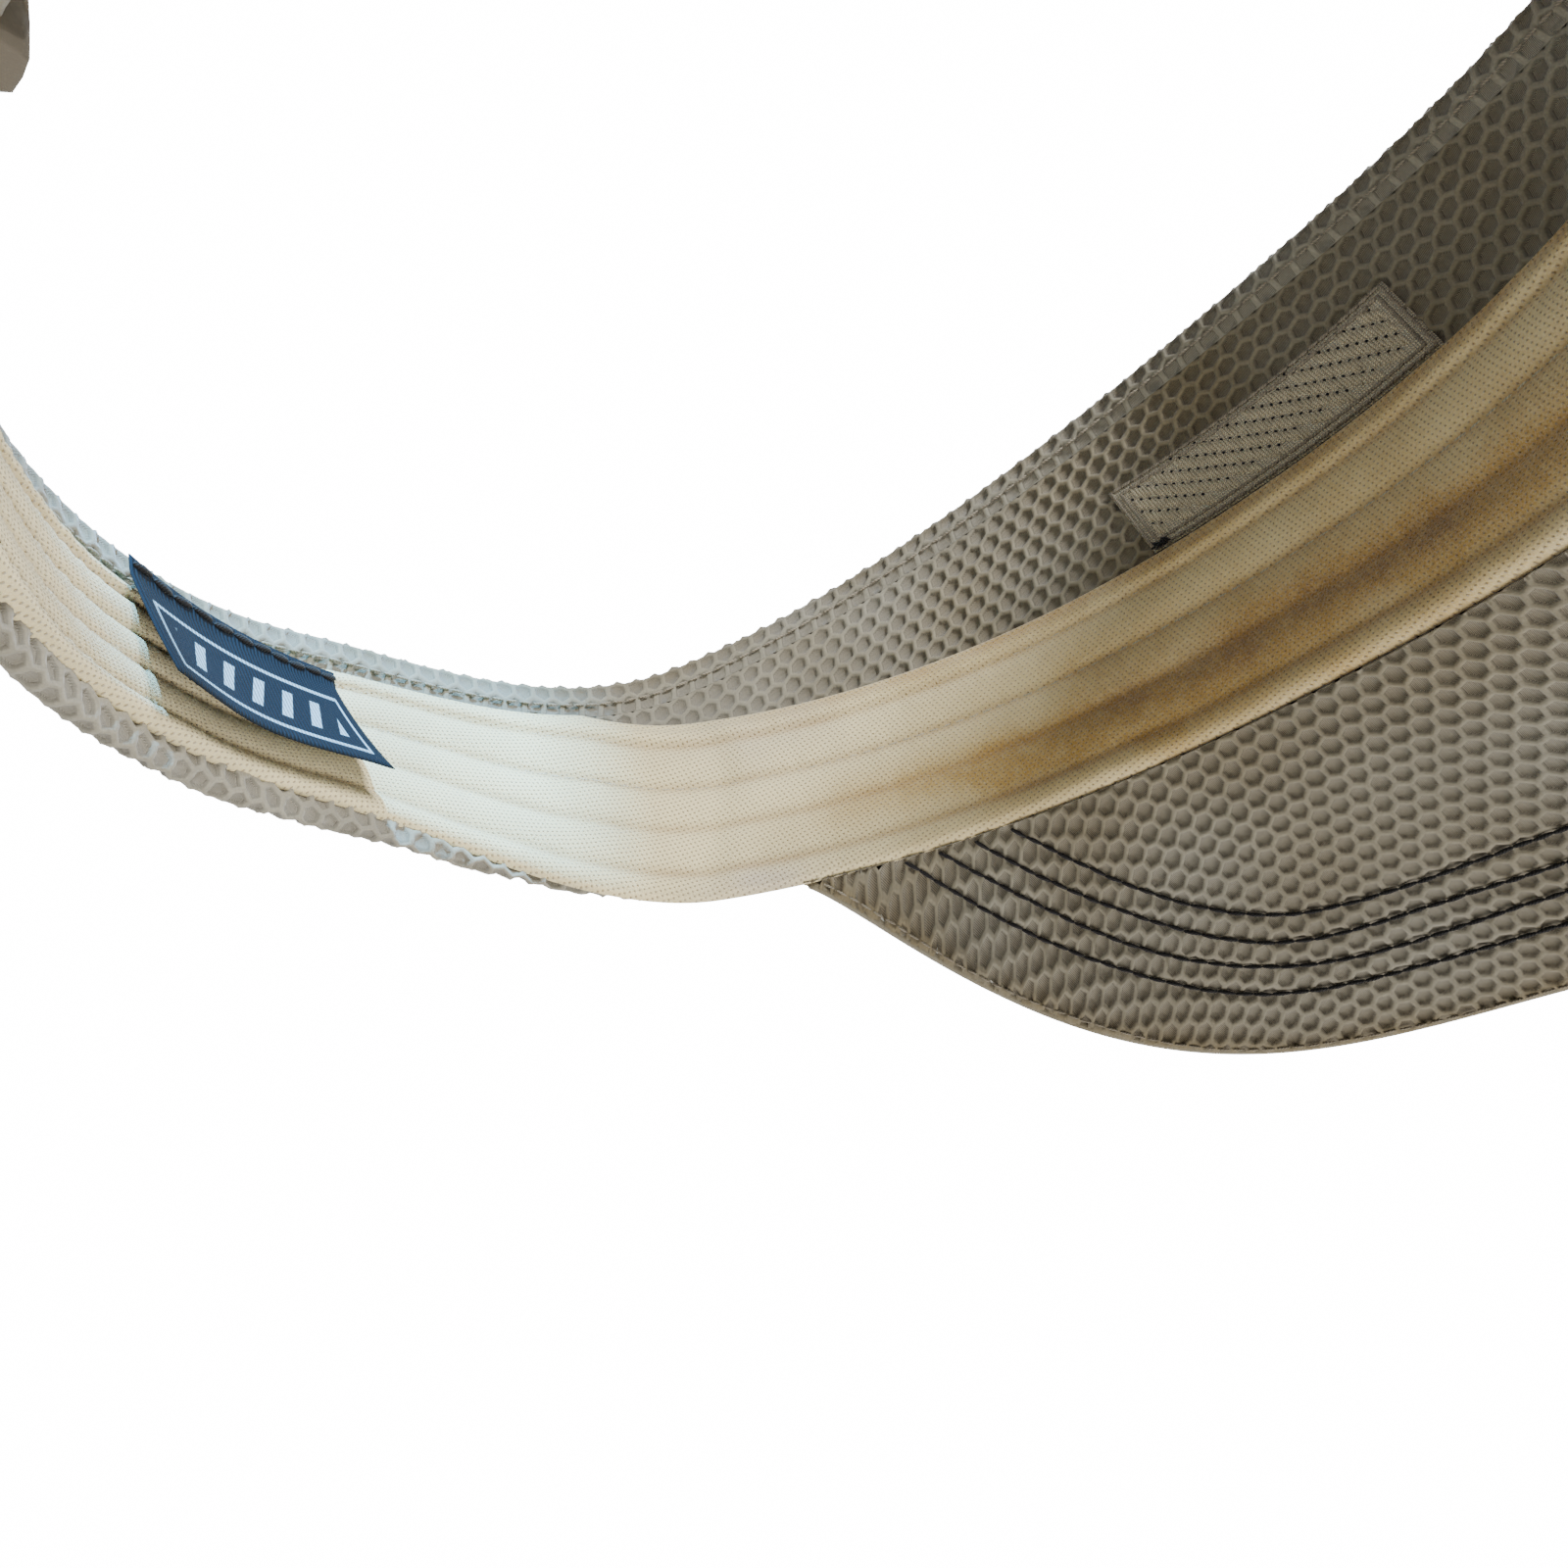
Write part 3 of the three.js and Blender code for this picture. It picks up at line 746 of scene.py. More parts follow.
FOLD_RADIUS = (KNIT - FOLD_DEPTH) / 2
FOLD_MIDDLE = KNIT - FOLD_RADIUS
QUARTER = math.pi * FOLD_RADIUS / 2  # cloth in a quarter of a fold
HEM_LENGTH = 4.4  # flat part of the top hem, past its fold
HEM_STITCH = QUARTER + 2.5


def round_the_wall(along, travel, lift):
    """Where the outer cloth lies: travel runs down the outside from the top fold and up the inside from the lower
    fold, and is negative down the inside of the top hem."""
    top, low = band_height(along), -hem_drop(along)
    straight = top - low - 2 * FOLD_RADIUS
    inside = travel < 0
    far = np.abs(travel)
    upper = np.minimum(far, QUARTER) / FOLD_RADIUS
    down = np.where(inside, np.maximum(far - QUARTER, 0), np.clip(far - QUARTER, 0, straight))
    lower = np.where(inside, 0, np.clip(far - QUARTER - straight, 0, 2 * QUARTER)) / FOLD_RADIUS
    back_up = np.where(inside, 0, np.maximum(far - 3 * QUARTER - straight, 0))
    side = np.where(inside, -1, 1)
    height_way = np.where(lower > 0, -np.sin(lower), np.cos(upper))
    out_way = np.where(lower > 0, np.cos(lower), side * np.sin(upper))
    radius = FOLD_RADIUS + lift
    centre = np.where(lower > 0, low + FOLD_RADIUS + back_up, top - FOLD_RADIUS - down)
    return wall(along, centre + radius * height_way, FOLD_MIDDLE + radius * out_way)


def band_travel_end(along):
    """How far the outer cloth runs: to the peak's seam in front, and round the lower fold along the arms."""
    straight = band_height(along) + hem_drop(along) - 2 * FOLD_RADIUS
    past = lerp(0.9 * QUARTER, 2 * QUARTER + 4.5, smooth(np.abs(along), 97, 112))
    return QUARTER + straight + past


def groove(distance, depth, width=0.9):
    return -depth * bell(distance, width)


def place_band(flat):
    along = np.clip(flat[:, 0], -BAND_END, BAND_END)
    travel = np.clip(-flat[:, 1], -QUARTER - HEM_LENGTH, band_travel_end(along))
    lift = flat[:, 2] + groove(np.abs(travel) - HEM_STITCH, 0.32, 0.8)
    lift = lift * smooth(band_travel_end(along) - travel, -0.5, 1.0)
    tuck = smooth(-travel, QUARTER + HEM_LENGTH - 2.2, QUARTER + HEM_LENGTH)
    return round_the_wall(along, travel, lift * (1 - tuck) - 1.6 * tuck)


def place_lining(flat):
    along = np.clip(flat[:, 0], -BAND_END, BAND_END)
    return wall(along, band_height(along) + flat[:, 1], -flat[:, 2] - 0.15)


def pit_mask(flat):
    return np.clip((-flat[:, 2] - 0.11) / 0.5, 0, 1)


def band_grime(flat):
    travel = -flat[:, 1]
    edge = bell(travel + 1.0, 3.5) + 0.6 * bell(band_travel_end(flat[:, 0]) - travel, 6)
    return np.clip(edge * (0.55 + 0.45 * ripple(flat[:, 0], flat[:, 1], 9, 1.0)), 0, 1)


def lining_grime(flat):
    front = bell(flat[:, 0], 60)
    return np.clip(0.25 + 0.5 * front + 0.3 * ripple(flat[:, 0], flat[:, 1], 12, 2.0), 0, 1)


def hem_stitches(side):
    """A place function for a seam along the band's top hem, pulled a little way into the cloth."""
    def place(flat):
        along = flat[:, 0] - BAND_END + 3
        return round_the_wall(along, side * HEM_STITCH - flat[:, 1], flat[:, 2] - 0.28)
    return place


def binding_place(sign):
    def place(flat):
        reach = np.minimum(np.abs(flat[:, 0]), 1)
        along = sign * (BAND_END - 1.2 + 1.9 * flat[:, 0])
        low, high = -hem_drop(along) - 0.3, band_height(along) + 0.25
        height = lerp(low, high, 0.5 + 0.5 * flat[:, 1])
        return wall(along, height, -0.6 + 2.75 * flat[:, 2] * (1 - 0.06 * reach))
    return place


class VISOR_OT_band(bpy.types.Operator):
    """Knit band with its folded hems, its lining, hem stitches and the bindings on its two ends"""
    bl_idname = "visor.band"
    bl_label = "Band"

    def execute(self, context):
        knit = context.scene.visor_knit
        threads = context.scene.visor_threads
        cloth = shared("Honeycomb Knit", honeycomb_material, knit)
        tall = BAND_FRONT_HEIGHT + 2 * QUARTER

        def on_band(along, up):
            inside = (-up > -QUARTER - HEM_LENGTH - 2) & (-up < band_travel_end(along) + 2)
            return inside & (np.abs(along) < BAND_END + 2)

        outer = settle(
            "band_knit", honeycomb_sheet(knit, (-BAND_END - 4, -tall), (BAND_END + 4, 14), on_band), place_band,
            cloth, ("outer_band", "top_hem", "arm_hem_left", "arm_hem_right"),
            masks={"pit": pit_mask, "grime": band_grime}, weld=True)

        def on_lining(along, up):
            bottom = sweatband_top(along) - 3 - band_height(along)
            return (up < -1.5) & (up > bottom) & (np.abs(along) < BAND_END)

        lining = settle(
            "band_lining", honeycomb_sheet(knit, (-BAND_END - 1, -40), (BAND_END + 1, 0), on_lining), place_lining,
            cloth, masks={"pit": pit_mask, "grime": lining_grime})

        taupe = thread_of(threads, "Taupe Thread")
        for face, side, nodes in (("inner", -1, ("top_hem_stitch",)), ("outer", 1, ())):
            settle("top_hem_stitches_" + face, seam(2 * BAND_END - 6, threads.stitch * 1000, 0.26),
                   hem_stitches(side), taupe, nodes)

        webbing = shared("Taupe Binding", webbing_material, "Taupe Binding", context.scene.visor_strap.colour, 0.8)
        for side, sign in (("left", 1), ("right", -1)):
            bm = bmesh.new()
            bmesh.ops.create_cube(bm, size=2)
            bmesh.ops.subdivide_edges(bm, edges=bm.edges[:], cuts=9, use_grid_fill=True)
            for vert in bm.verts:
                x, y, z = vert.co
                vert.co.x *= math.sqrt(max(0.2, 1 - 0.55 * z * z))
                vert.co.y *= 1 - 0.015 * z * z
                vert.co.z *= 1 + 0.04 * math.sin(7 * y)
            settle("arm_binding_" + side, bm, binding_place(sign), webbing, ("end_binding_" + side,))
        return {"FINISHED"}


# ---------------------------------------------------------------- sweatband

QUILT_BACK = 1.15  # where the sweatband starts, in from the knit


def channel_puff(share):
    """The quilting's swell between its seams, 0 on a seam and 1 between two."""
    lines = [0.045] + SWEATBAND_SEAMS + [0.985]
    puff = np.zeros_like(share)
    for start, end in zip(lines, lines[1:]):
        inside = (share >= start) & (share < end)
        puff = np.where(inside, np.sin(np.pi * np.clip((share - start) / (end - start), 0, 1)) ** 0.6, puff)
    return puff


def seam_distance(share):
    """Millimetres to the nearest of the sweatband's seams."""
    return np.min([np.abs(share - line) for line in SWEATBAND_SEAMS], axis=0) * SWEATBAND_HEIGHT


def sweatband_out(along, share, puff):
    """How far the sweatband's face stands in from the knit: quilting, puckers, a soft crease and slack."""
    swell = channel_puff(share) * (1 + 0.25 * ripple(along, 30 * share, 14, 0.7))
    wave = np.sin(along * 2.05 + 1.5 * np.sin(along * 0.31)) + 0.6 * ripple(along, 30 * share, 1.6, 3.0)
    puckers = bell(seam_distance(share) - 1.3, 1.1) * wave
    sway = 3 * np.sin(5 * share)
    creases = (-0.55 * bell(along - 109 + sway, 2.6) + 0.35 * bell(along - 103.5 + sway, 3.2)
               - 0.3 * bell(along + 118 - 4 * share, 3.0))
    slack = 0.22 * ripple(along, 12 * share, 17, 5.0) + 0.06 * ripple(along, 33 * share, 3.2, 1.9)
    return 1.05 + 1000 * puff * swell + 0.17 * puckers + creases + slack


def sweatband_share(flat):
    return np.clip(1 - flat[:, 1] / SWEATBAND_HEIGHT, 0, 1)


def place_sweatband(puff):
    def place(flat):
        along = flat[:, 0]
        share = sweatband_share(flat)
        sag = 0.5 * ripple(along, 0 * along, 31, 2.2)
        height = lerp(sweatband_top(along) + 0.25 * sag, SWEATBAND_LOW + 0.2 * sag, share)
        swell = rounded(np.minimum(share, 1 - share) * SWEATBAND_HEIGHT / 1.1)
        thick = np.where(flat[:, 2] > -0.5, sweatband_out(along, share, puff), -0.75)
        return wall(along, height, -QUILT_BACK - thick * (0.12 + 0.88 * swell))
    return place


def stain_and_shade_mask(flat):
    along, share = flat[:, 0], sweatband_share(flat)
    reach = 1 - smooth(np.abs(along), 55, 112)
    middle = 0.70 + 0.035 * np.sin(along / 17)
    broad = bell(share - middle, 0.13) * reach
    upper = 0.8 * bell(share - 0.04, 0.06) * (1 - smooth(np.abs(along), 60, 125))
    # Stain colour laid over the front, strongest at the front: partly a yellowing of the cloth, partly painted shade
    # on the front.
    front_yellowing_and_shade = 0.6 * (1 - smooth(np.abs(along), 20, 100)) * (0.55 + 0.45 * smooth(share, 0.1, 0.5))
    patch = 1 + 0.45 * ripple(along, 33 * share, 7, 4.0)
    return np.clip((broad * 0.95 + upper + front_yellowing_and_shade) * patch, 0, 1)


def deep_stain_mask(flat):
    along, share = flat[:, 0], sweatband_share(flat)
    reach = 1 - smooth(np.abs(along), 12, 60)
    band = bell(share - 0.66, 0.12)
    seams = 0.25 * bell(share - SWEATBAND_SEAMS[-1], 0.02) * (1 - smooth(np.abs(along), 80, 150))
    return np.clip((band * reach + seams) * (0.8 + 0.5 * ripple(along, 33 * share, 5, 6.0)), 0, 0.85)


def groove_dirt_and_shade_mask(flat):
    """Dirt in the grooves of the quilting, and painted shade in the same grooves."""
    along, share = flat[:, 0], sweatband_share(flat)
    return bell(seam_distance(share), 0.8) * (0.75 + 0.25 * ripple(along, 33 * share, 6, 1.5))


def mauve_mask(flat):
    along, share = flat[:, 0], sweatband_share(flat)
    spot = bell(along - 103, 9) * bell(share - 0.95, 0.07)
    faint = 0.35 * bell(along - 96, 14) * bell(share - 0.15, 0.2)
    return np.clip((0.55 * spot + 0.5 * faint) * (0.8 + 0.4 * ripple(along, 33 * share, 4, 8.0)), 0, 1)


def seam_place(share, puff):
    def place(flat):
        along = flat[:, 0] - BAND_END + 4
        height = lerp(sweatband_top(along), SWEATBAND_LOW, share) + flat[:, 1] + 0.12 * np.sin(along / 9)
        return wall(along, height, -QUILT_BACK - sweatband_out(along, share, puff) - 0.08 - flat[:, 2])
    return place


class VISOR_OT_sweatband(bpy.types.Operator):
    """Quilted sweatband with its puckered seams, stains and four runs of stitches"""
    bl_idname = "visor.sweatband"
    bl_label = "Sweatband"

    def execute(self, context):
        pad = context.scene.visor_sweatband
        threads = context.scene.visor_threads
        cloth = shared("Brushed Sweatband", sweatband_material, pad)
        end = BAND_END - 2.2
        bm = slab((-end, 0), (end, SWEATBAND_HEIGHT), 1, (1.3, 0.62))
        for vert in bm.verts:
            vert.co.z = 0 if vert.co.z > -0.5 else -1
        masks = {"stain_and_shade": stain_and_shade_mask, "deep_stain": deep_stain_mask, "mauve": mauve_mask, "groove": groove_dirt_and_shade_mask}
        band = settle("sweatband_quilt", bm, place_sweatband(pad.puff), cloth,
                      ("sweatband_foam", "sweatband_face"), masks=masks)
        cream = thread_of(threads, "Cream Thread")
        for row, share in enumerate(SWEATBAND_SEAMS, 1):
            settle(f"sweatband_stitches_{row}", seam(2 * BAND_END - 8, threads.stitch * 1000, 0.2, 0.05, 0.8),
                   seam_place(share, pad.puff), cream, (f"sweatband_seam_{row}",))
        return {"FINISHED"}


# ---------------------------------------------------------------- peak

def peak_lift(inset, lift):
    """Height of a cover over the peak's middle: full inside, rounded off at the edge, pressed down under each row."""
    rows = sum(groove(inset - row, 1, 1.0) for row in ROW_INSETS)
    edge = groove(inset - EDGE_STITCH_INSET, 0.25, 0.6)
    relief = lift * (0.9 + 0.5 * rows) + 0.62 * rows + edge
    return PEAK_FACE * rounded(inset / 2.4) + relief * smooth(inset, 0.8, 3)


def peak_lay(flat):
    """The cloth's flat spots as lengths along, reaches and insets, kept inside the peak's outline."""
    along, reach = peak_spot(flat[:, 0], flat[:, 1])
    edge, inset = edge_near(along, reach)
    along = np.clip(np.where(inset < 0, edge, along), -95.6, 95.6)
    reach = np.clip(np.where(inset < 0, peak_reach(edge), reach), 0.1, np.maximum(peak_reach(along), 0.15))
    return along, reach, np.maximum(inset, 0)


def place_cover(side):
    def place(flat):
        along, reach, inset = peak_lay(flat)
        up = side * peak_lift(inset, flat[:, 2] + 0.12 * ripple(flat[:, 0], flat[:, 1], 22, 3.0))
        return peak_point(along, reach, up)
    return place


def cover_pits(flat):
    """The pits, pulled flat where the cloth is drawn round the peak's edge."""
    inset = peak_lay(flat)[2]
    return pit_mask(flat) * smooth(inset, 0.8, 2.8)


def cover_grime(flat):
    along, reach, inset = peak_lay(flat)
    edge = 0.75 * bell(inset, 4) + 0.25 * bell(reach - 3, 8)
    return np.clip(edge + 0.25 + 0.3 * ripple(flat[:, 0], flat[:, 1], 15, 5.5), 0, 1)


def row_path(inset):
    """Spots along a row inside the peak's edge, with the lengths of thread that lead to them."""
    along = np.linspace(-95, 95, 1500)
    spot, reach = inside_edge(along, inset)
    along = along[reach > 0.8]
    points = peak_middle(*inside_edge(along, inset))
    lengths = np.concatenate([[0], np.cumsum(np.linalg.norm(np.diff(points, axis=0), axis=1))])
    return along, lengths


def row_place(inset, side, sink):
    along_at, lengths = row_path(inset)

    def place(flat):
        along = np.interp(flat[:, 0], lengths, along_at)
        wander = 0.16 * np.sin(flat[:, 0] / 7.3 + inset)
        spot, reach = inside_edge(along, inset + flat[:, 1] + wander)
        up = peak_lift(np.full_like(spot, inset), 0) + sink + flat[:, 2]
        return peak_point(spot, reach, side * up)
    return place, lengths[-1]


def roll_place():
    """Along the peak's edge, where the covers' cut edges are rolled together."""
    along_at, lengths = row_path(ROLL_INSET)

    def place(flat):
        along = np.interp(flat[:, 0], lengths, along_at)
        spot, reach = inside_edge(along, ROLL_INSET + flat[:, 1])
        return peak_point(spot, reach, flat[:, 2])
    return place, lengths[-1]


def roll_grime(flat):
    return 0.55 + 0.3 * ripple(flat[:, 0], flat[:, 1], 9, 2.5)


class VISOR_OT_peak(bpy.types.Operator):
    """Stiffened peak: a board between two knit covers, dark rows of stitches and a stitched edge"""
    bl_idname = "visor.peak"
    bl_label = "Peak"

    def execute(self, context):
        knit = context.scene.visor_knit
        threads = context.scene.visor_threads
        cloth = shared("Honeycomb Knit", honeycomb_material, knit)

        def on_peak(across, forward):
            along, reach = peak_spot(across, forward)
            inset = (peak_reach(along) - reach) / np.hypot(1, outline_slope(along))
            return (np.abs(along) < 99) & (reach > -3) & (inset > -3)

        for face, side, node in (("top", 1, "peak_top_cover"), ("under", -1, "peak_under_cover")):
            cover = settle(
                "peak_knit_" + face, honeycomb_sheet(knit, (-112, -74), (112, 72), on_peak), place_cover(side), cloth,
                (node,), masks={"pit": cover_pits, "grime": cover_grime}, weld=True)

        dark = thread_of(threads, "Black Thread")
        for row, inset in enumerate(ROW_INSETS, 1):
            for face, side in (("under", -1), ("top", 1)):
                place, length = row_place(inset, side, 0.4)
                stitches = seam(length, threads.row_stitch * 1000, 0.42, 0.05, 1.16)
                settle(f"peak_stitches_{face}_{row}", stitches, place, dark,
                       (f"peak_row_{row}",) if side < 0 else ())
        taupe = thread_of(threads, "Taupe Thread")
        for face, side in (("under", -1), ("top", 1)):
            place, length = row_place(EDGE_STITCH_INSET, side, 0.1)
            settle(f"peak_edge_stitches_{face}", seam(length, threads.stitch * 1000, 0.24, 0.04), place, taupe,
                   ("peak_edge_stitch",) if side < 0 else ())
        place, length = roll_place()
        settle("peak_edge_fold", roll(length, 260, 1.1, 1.35), place, cloth,
               masks={"grime": roll_grime})
        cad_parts["peak_board"].data.materials[0] = board_material()
        return {"FINISHED"}


# ---------------------------------------------------------------- emblem

EMBLEM_LOW, EMBLEM_HIGH, EMBLEM_SLANT = 34.4, 49.6, 0.27
EMBLEM_LEFT, EMBLEM_RIGHT = 19, -33
FILL_ROW_GAP = 2.5  # between the rows of its thread filling
FILL_TURN = 0.616  # how far the rows are turned
FILL_RIM = 2.6  # plain rim round the filling


def emblem_place(out, side):
    def place(flat):
        return wall(flat[:, 0] + EMBLEM_SLANT * (flat[:, 1] - EMBLEM_LOW), flat[:, 1], out + side * flat[:, 2])
    return place


def fill_spots(thread_gap, thread_turn):
    """Spots of a thread filling: slanted rows across the emblem, each thread leaning the other way."""
    spots = []
    middle = (EMBLEM_LOW + EMBLEM_HIGH) / 2
    cos, sin = math.cos(FILL_TURN), math.sin(FILL_TURN)
    for row in range(-24, 25):
        for step in range(-70, 71):
            x, y = step * thread_gap + 0.37 * thread_gap * (row % 3), row * FILL_ROW_GAP
            across, up = x * cos - y * sin, x * sin + y * cos + middle
            level = EMBLEM_RIGHT + FILL_RIM < across < EMBLEM_LEFT - FILL_RIM
            if level and EMBLEM_LOW + FILL_RIM < up < EMBLEM_HIGH - FILL_RIM:
                spots.append((across, up, 0.06 * math.sin(5 * step + row), thread_turn + 0.05 * math.sin(3 * step)))
    return spots


class VISOR_OT_emblem(bpy.types.Operator):
    """Plain embroidered emblem outside the front, and the back of its thread filling inside"""
    bl_idname = "visor.emblem"
    bl_label = "Emblem"

    def execute(self, context):
        threads = context.scene.visor_threads
        cream = thread_of(threads, "Cream Thread")
        base = shared("Emblem Ground", tape_material, "Emblem Ground", tint(threads.cream, 1.2), 0.9)
        low, high = (EMBLEM_RIGHT, EMBLEM_LOW), (EMBLEM_LEFT, EMBLEM_HIGH)

        front = slab(low, high, 0.9, (1, 1), 0.8)
        place = emblem_place(KNIT + 0.75, 1)
        settle("emblem_ground", front, place, base, ("emblem",))
        bars = bmesh.new()
        for bar in range(3):
            middle = EMBLEM_LOW + 2.8 + 4.8 * bar
            count = round((EMBLEM_LEFT - EMBLEM_RIGHT - 3) / 0.5)
            spots = [(EMBLEM_RIGHT + 1.5 + 0.5 * (i + 0.5), middle, 0.05, 1.45) for i in range(count)]
            add_stitches(bars, spots, 4.1, 0.36)
        settle("emblem_bars", bars, place, cream)

        back = slab(low, high, 0.7, (1, 1), 0.8)
        inner = emblem_place(-0.35, -1)
        settle("emblem_reverse_ground", back, inner, base, ("emblem_backing",))
        filling = bmesh.new()
        add_stitches(filling, fill_spots(0.72, 1.48), 2.9, 0.34)
        settle("emblem_reverse_threads", filling, inner, cream)

        # Painted shade: near-black dots set in the gaps of the filling stand in for the shadow inside each hole.
        holes = bmesh.new()
        cos = math.cos(FILL_TURN)
        add_stitches(holes, [(x + 0.36 * cos, y + 1.25 / cos, -0.02, turn)
                             for x, y, z, turn in fill_spots(1.44, 0)], 0.5, 0.3)
        settle("emblem_reverse_hole_shade", holes, inner, thread_of(threads, "Black Thread"))

        outline = bmesh.new()
        for rim in (0.5, 1.7):
            for height in (EMBLEM_LOW + rim, EMBLEM_HIGH - rim):
                count = round((EMBLEM_LEFT - EMBLEM_RIGHT - 2 * rim) / 1.9)
                step = (EMBLEM_LEFT - EMBLEM_RIGHT - 2 * rim) / count
                add_stitches(outline, [(EMBLEM_RIGHT + rim + (i + 0.5) * step, height, 0.15, 0)
                                       for i in range(count)], 2.1, 0.36)
            for edge in (EMBLEM_RIGHT + rim, EMBLEM_LEFT - rim):
                add_stitches(outline, [(edge, lerp(EMBLEM_LOW + rim, EMBLEM_HIGH - rim, (i + 0.5) / 8), 0.15,
                                        math.pi / 2) for i in range(8)], 2.2, 0.34)
        settle("emblem_reverse_outline", outline, inner, thread_of(threads, "Taupe Thread"))

        knot = bmesh.new()
        add_stitches(knot, [(EMBLEM_LEFT - 0.7 - 0.3 * i, EMBLEM_LOW + 0.7 + 0.35 * math.sin(2.4 * i),
                             0.35 + 0.12 * (i % 3), 1.3 * i) for i in range(9)], 1.7, 0.24)
        settle("thread_knot", knot, inner, thread_of(threads, "Black Thread"))
        return {"FINISHED"}


# ---------------------------------------------------------------- closure

PATCH_BASE = 2.1
TAB_BASE = 4.3
HINGE = -BAND_END - 0.3


def strap_middle(along):
    return (band_height(along) - hem_drop(BAND_END)) / 2


def strap_place(out, thick, follows=True):
    def place(flat):
        along = flat[:, 0]
        step = (TAB_BASE - PATCH_BASE) * smooth(-BAND_END - 0.6 - along, 0, 18) if follows else 0
        near_tip = np.clip(1 - (along - STRAP_END) / 7, 0, 1)
        narrow = 1 - 0.42 * near_tip ** 2 if follows else 1
        return wall(along, strap_middle(along) + flat[:, 1] * narrow, out + step + thick + flat[:, 2])
    return place


class VISOR_OT_closure(bpy.types.Operator):
    """Hook-and-loop strap behind the head, its two tapes and its bar tacks"""
    bl_idname = "visor.closure"
    bl_label = "Closure"

    def execute(self, context):
        settings = context.scene.visor_strap
        threads = context.scene.visor_threads
        half = settings.width * 500
        webbing = shared("Strap Webbing", webbing_material, "Strap Webbing", settings.colour, 1.1)
        bm = slab((STRAP_END, -half), (STRAP_START, half), 1.2, (1, 0.8), 0.7)
        for vert in bm.verts:
            if vert.co.z > -0.6:
                vert.co.z += 0.12 * math.cos(vert.co.y * math.pi / 2.1) ** 2 - 0.1
        strap = settle("closure_strap", bm, strap_place(PATCH_BASE, 1.2), webbing,
                       ("tab_root", "closure_tab"), body=None)
        bend = [wall_spot(HINGE + off, strap_middle(HINGE), 3) for off in (2.5, -2.5)]
        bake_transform(strap)

        hooks = slab((STRAP_END + 1.5, -half + 1.5), (STRAP_END + 37.5, half - 1.5), 0.8, (0.5, 0.5), 0.5)
        for vert in hooks.verts:
            if vert.co.z < -0.4:
                vert.co.z -= 0.12 * abs(math.sin(vert.co.x * 2.2) * math.sin(vert.co.y * 2.2))
        tape = shared("Hook Tape", tape_material, "Hook Tape", settings.tape_colour, 0.7)
        settle("hook_tape", hooks, strap_place(3.2, 0.8, False), tape, ("hook_patch",), "closure")

        loops = slab((BAND_END - 55.3, -half), (BAND_END - 3.3, half), 0.8, (0.6, 0.6), 0.6)
        for vert in loops.verts:
            if vert.co.z > -0.4:
                vert.co.z += 0.1 * ripple(vert.co.x, vert.co.y, 0.8, 2.0)
        settle("loop_tape", loops, strap_place(PATCH_BASE, 0.8, False),
               shared("Loop Tape", tape_material, "Loop Tape", settings.tape_colour, 0.5),
               ("loop_patch",))

        dark = thread_of(threads, "Black Thread")
        for number, start in enumerate((3.0, 13.4), 1):
            bm = bmesh.new()
            count = 26
            add_stitches(bm, [(-BAND_END + start + 0.8, lerp(-half + 1.6, half - 1.6, i / (count - 1)), 0.1,
                               0.22 * (-1) ** i) for i in range(count)], 1.9, 0.3)
            settle(f"bar_tack_{number}", bm, strap_place(PATCH_BASE, 1.35, False), dark,
                   (f"tab_tack_{number}",))
        return {"FINISHED"}


# ---------------------------------------------------------------- label

LABEL_OUT = -4.2  # its sewn face, in from the knit
LABEL_THICKNESS = 0.6


def label_top(along):
    return lerp(18.8, 18.4, (along - LABEL_START) / LABEL_LENGTH)


def label_place(lift):
    def place(flat):
        drop = LABEL_HEIGHT - flat[:, 1]
        hang = np.maximum(drop - LABEL_HEM, 0)
        share = hang / 15
        slant = 4.6 * (1 - share ** 1.2) * np.clip(1 - flat[:, 0] / 24, 0, 1) ** 1.5
        along = LABEL_START + flat[:, 0]
        curl = 0.9 * np.exp(-flat[:, 0] / 9) * share ** 2 + 0.25 * np.sin(flat[:, 0] / 5.5) * share
        off = math.tan(lift) * hang * (1 + 0.12 * share) + curl
        height = label_top(along) - drop + 0.04 * off * off
        return wall(along + slant, height, LABEL_OUT - LABEL_THICKNESS - off - flat[:, 2])
    return place


class VISOR_OT_label(bpy.types.Operator):
    """Woven label sewn inside the left arm along its top edge with heavy dark stitches"""
    bl_idname = "visor.label"
    bl_label = "Label"

    def execute(self, context):
        settings = context.scene.visor_label
        threads = context.scene.visor_threads
        place = label_place(settings.lift)
        bm = slab((0, 0), (LABEL_LENGTH, LABEL_HEIGHT), LABEL_THICKNESS, (0.9, 0.7), 0.35)
        label = settle("woven_label", bm, place, shared("Woven Label", label_material, settings),
                       ("label_hem", "label_flap"), body=None)
        middle = LABEL_START + LABEL_LENGTH / 2
        bend = [wall_spot(middle, label_top(middle) - LABEL_HEM - off, LABEL_OUT - 0.7) for off in (-0.6, 1.8)]
        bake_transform(label)

        bm = bmesh.new()
        count = 11
        step = LABEL_LENGTH / count
        spots = [((i + 0.5) * step, LABEL_HEIGHT - 1.25 + 0.15 * math.sin(2 * i), 0.12, 0.1 * math.sin(3 * i))
                 for i in range(count)]
        add_stitches(bm, spots, step * 1.02, 0.5, 8)
        settle("label_lock_stitches", bm, place, thread_of(threads, "Black Thread"),
               ("label_stitch",))
        return {"FINISHED"}


# ---------------------------------------------------------------- stage

def towards(place, aim):
    """The turn that points a light from its place at its aim."""
    return (Vector(aim) - Vector(place)).to_track_quat("-Z", "Y").to_euler()


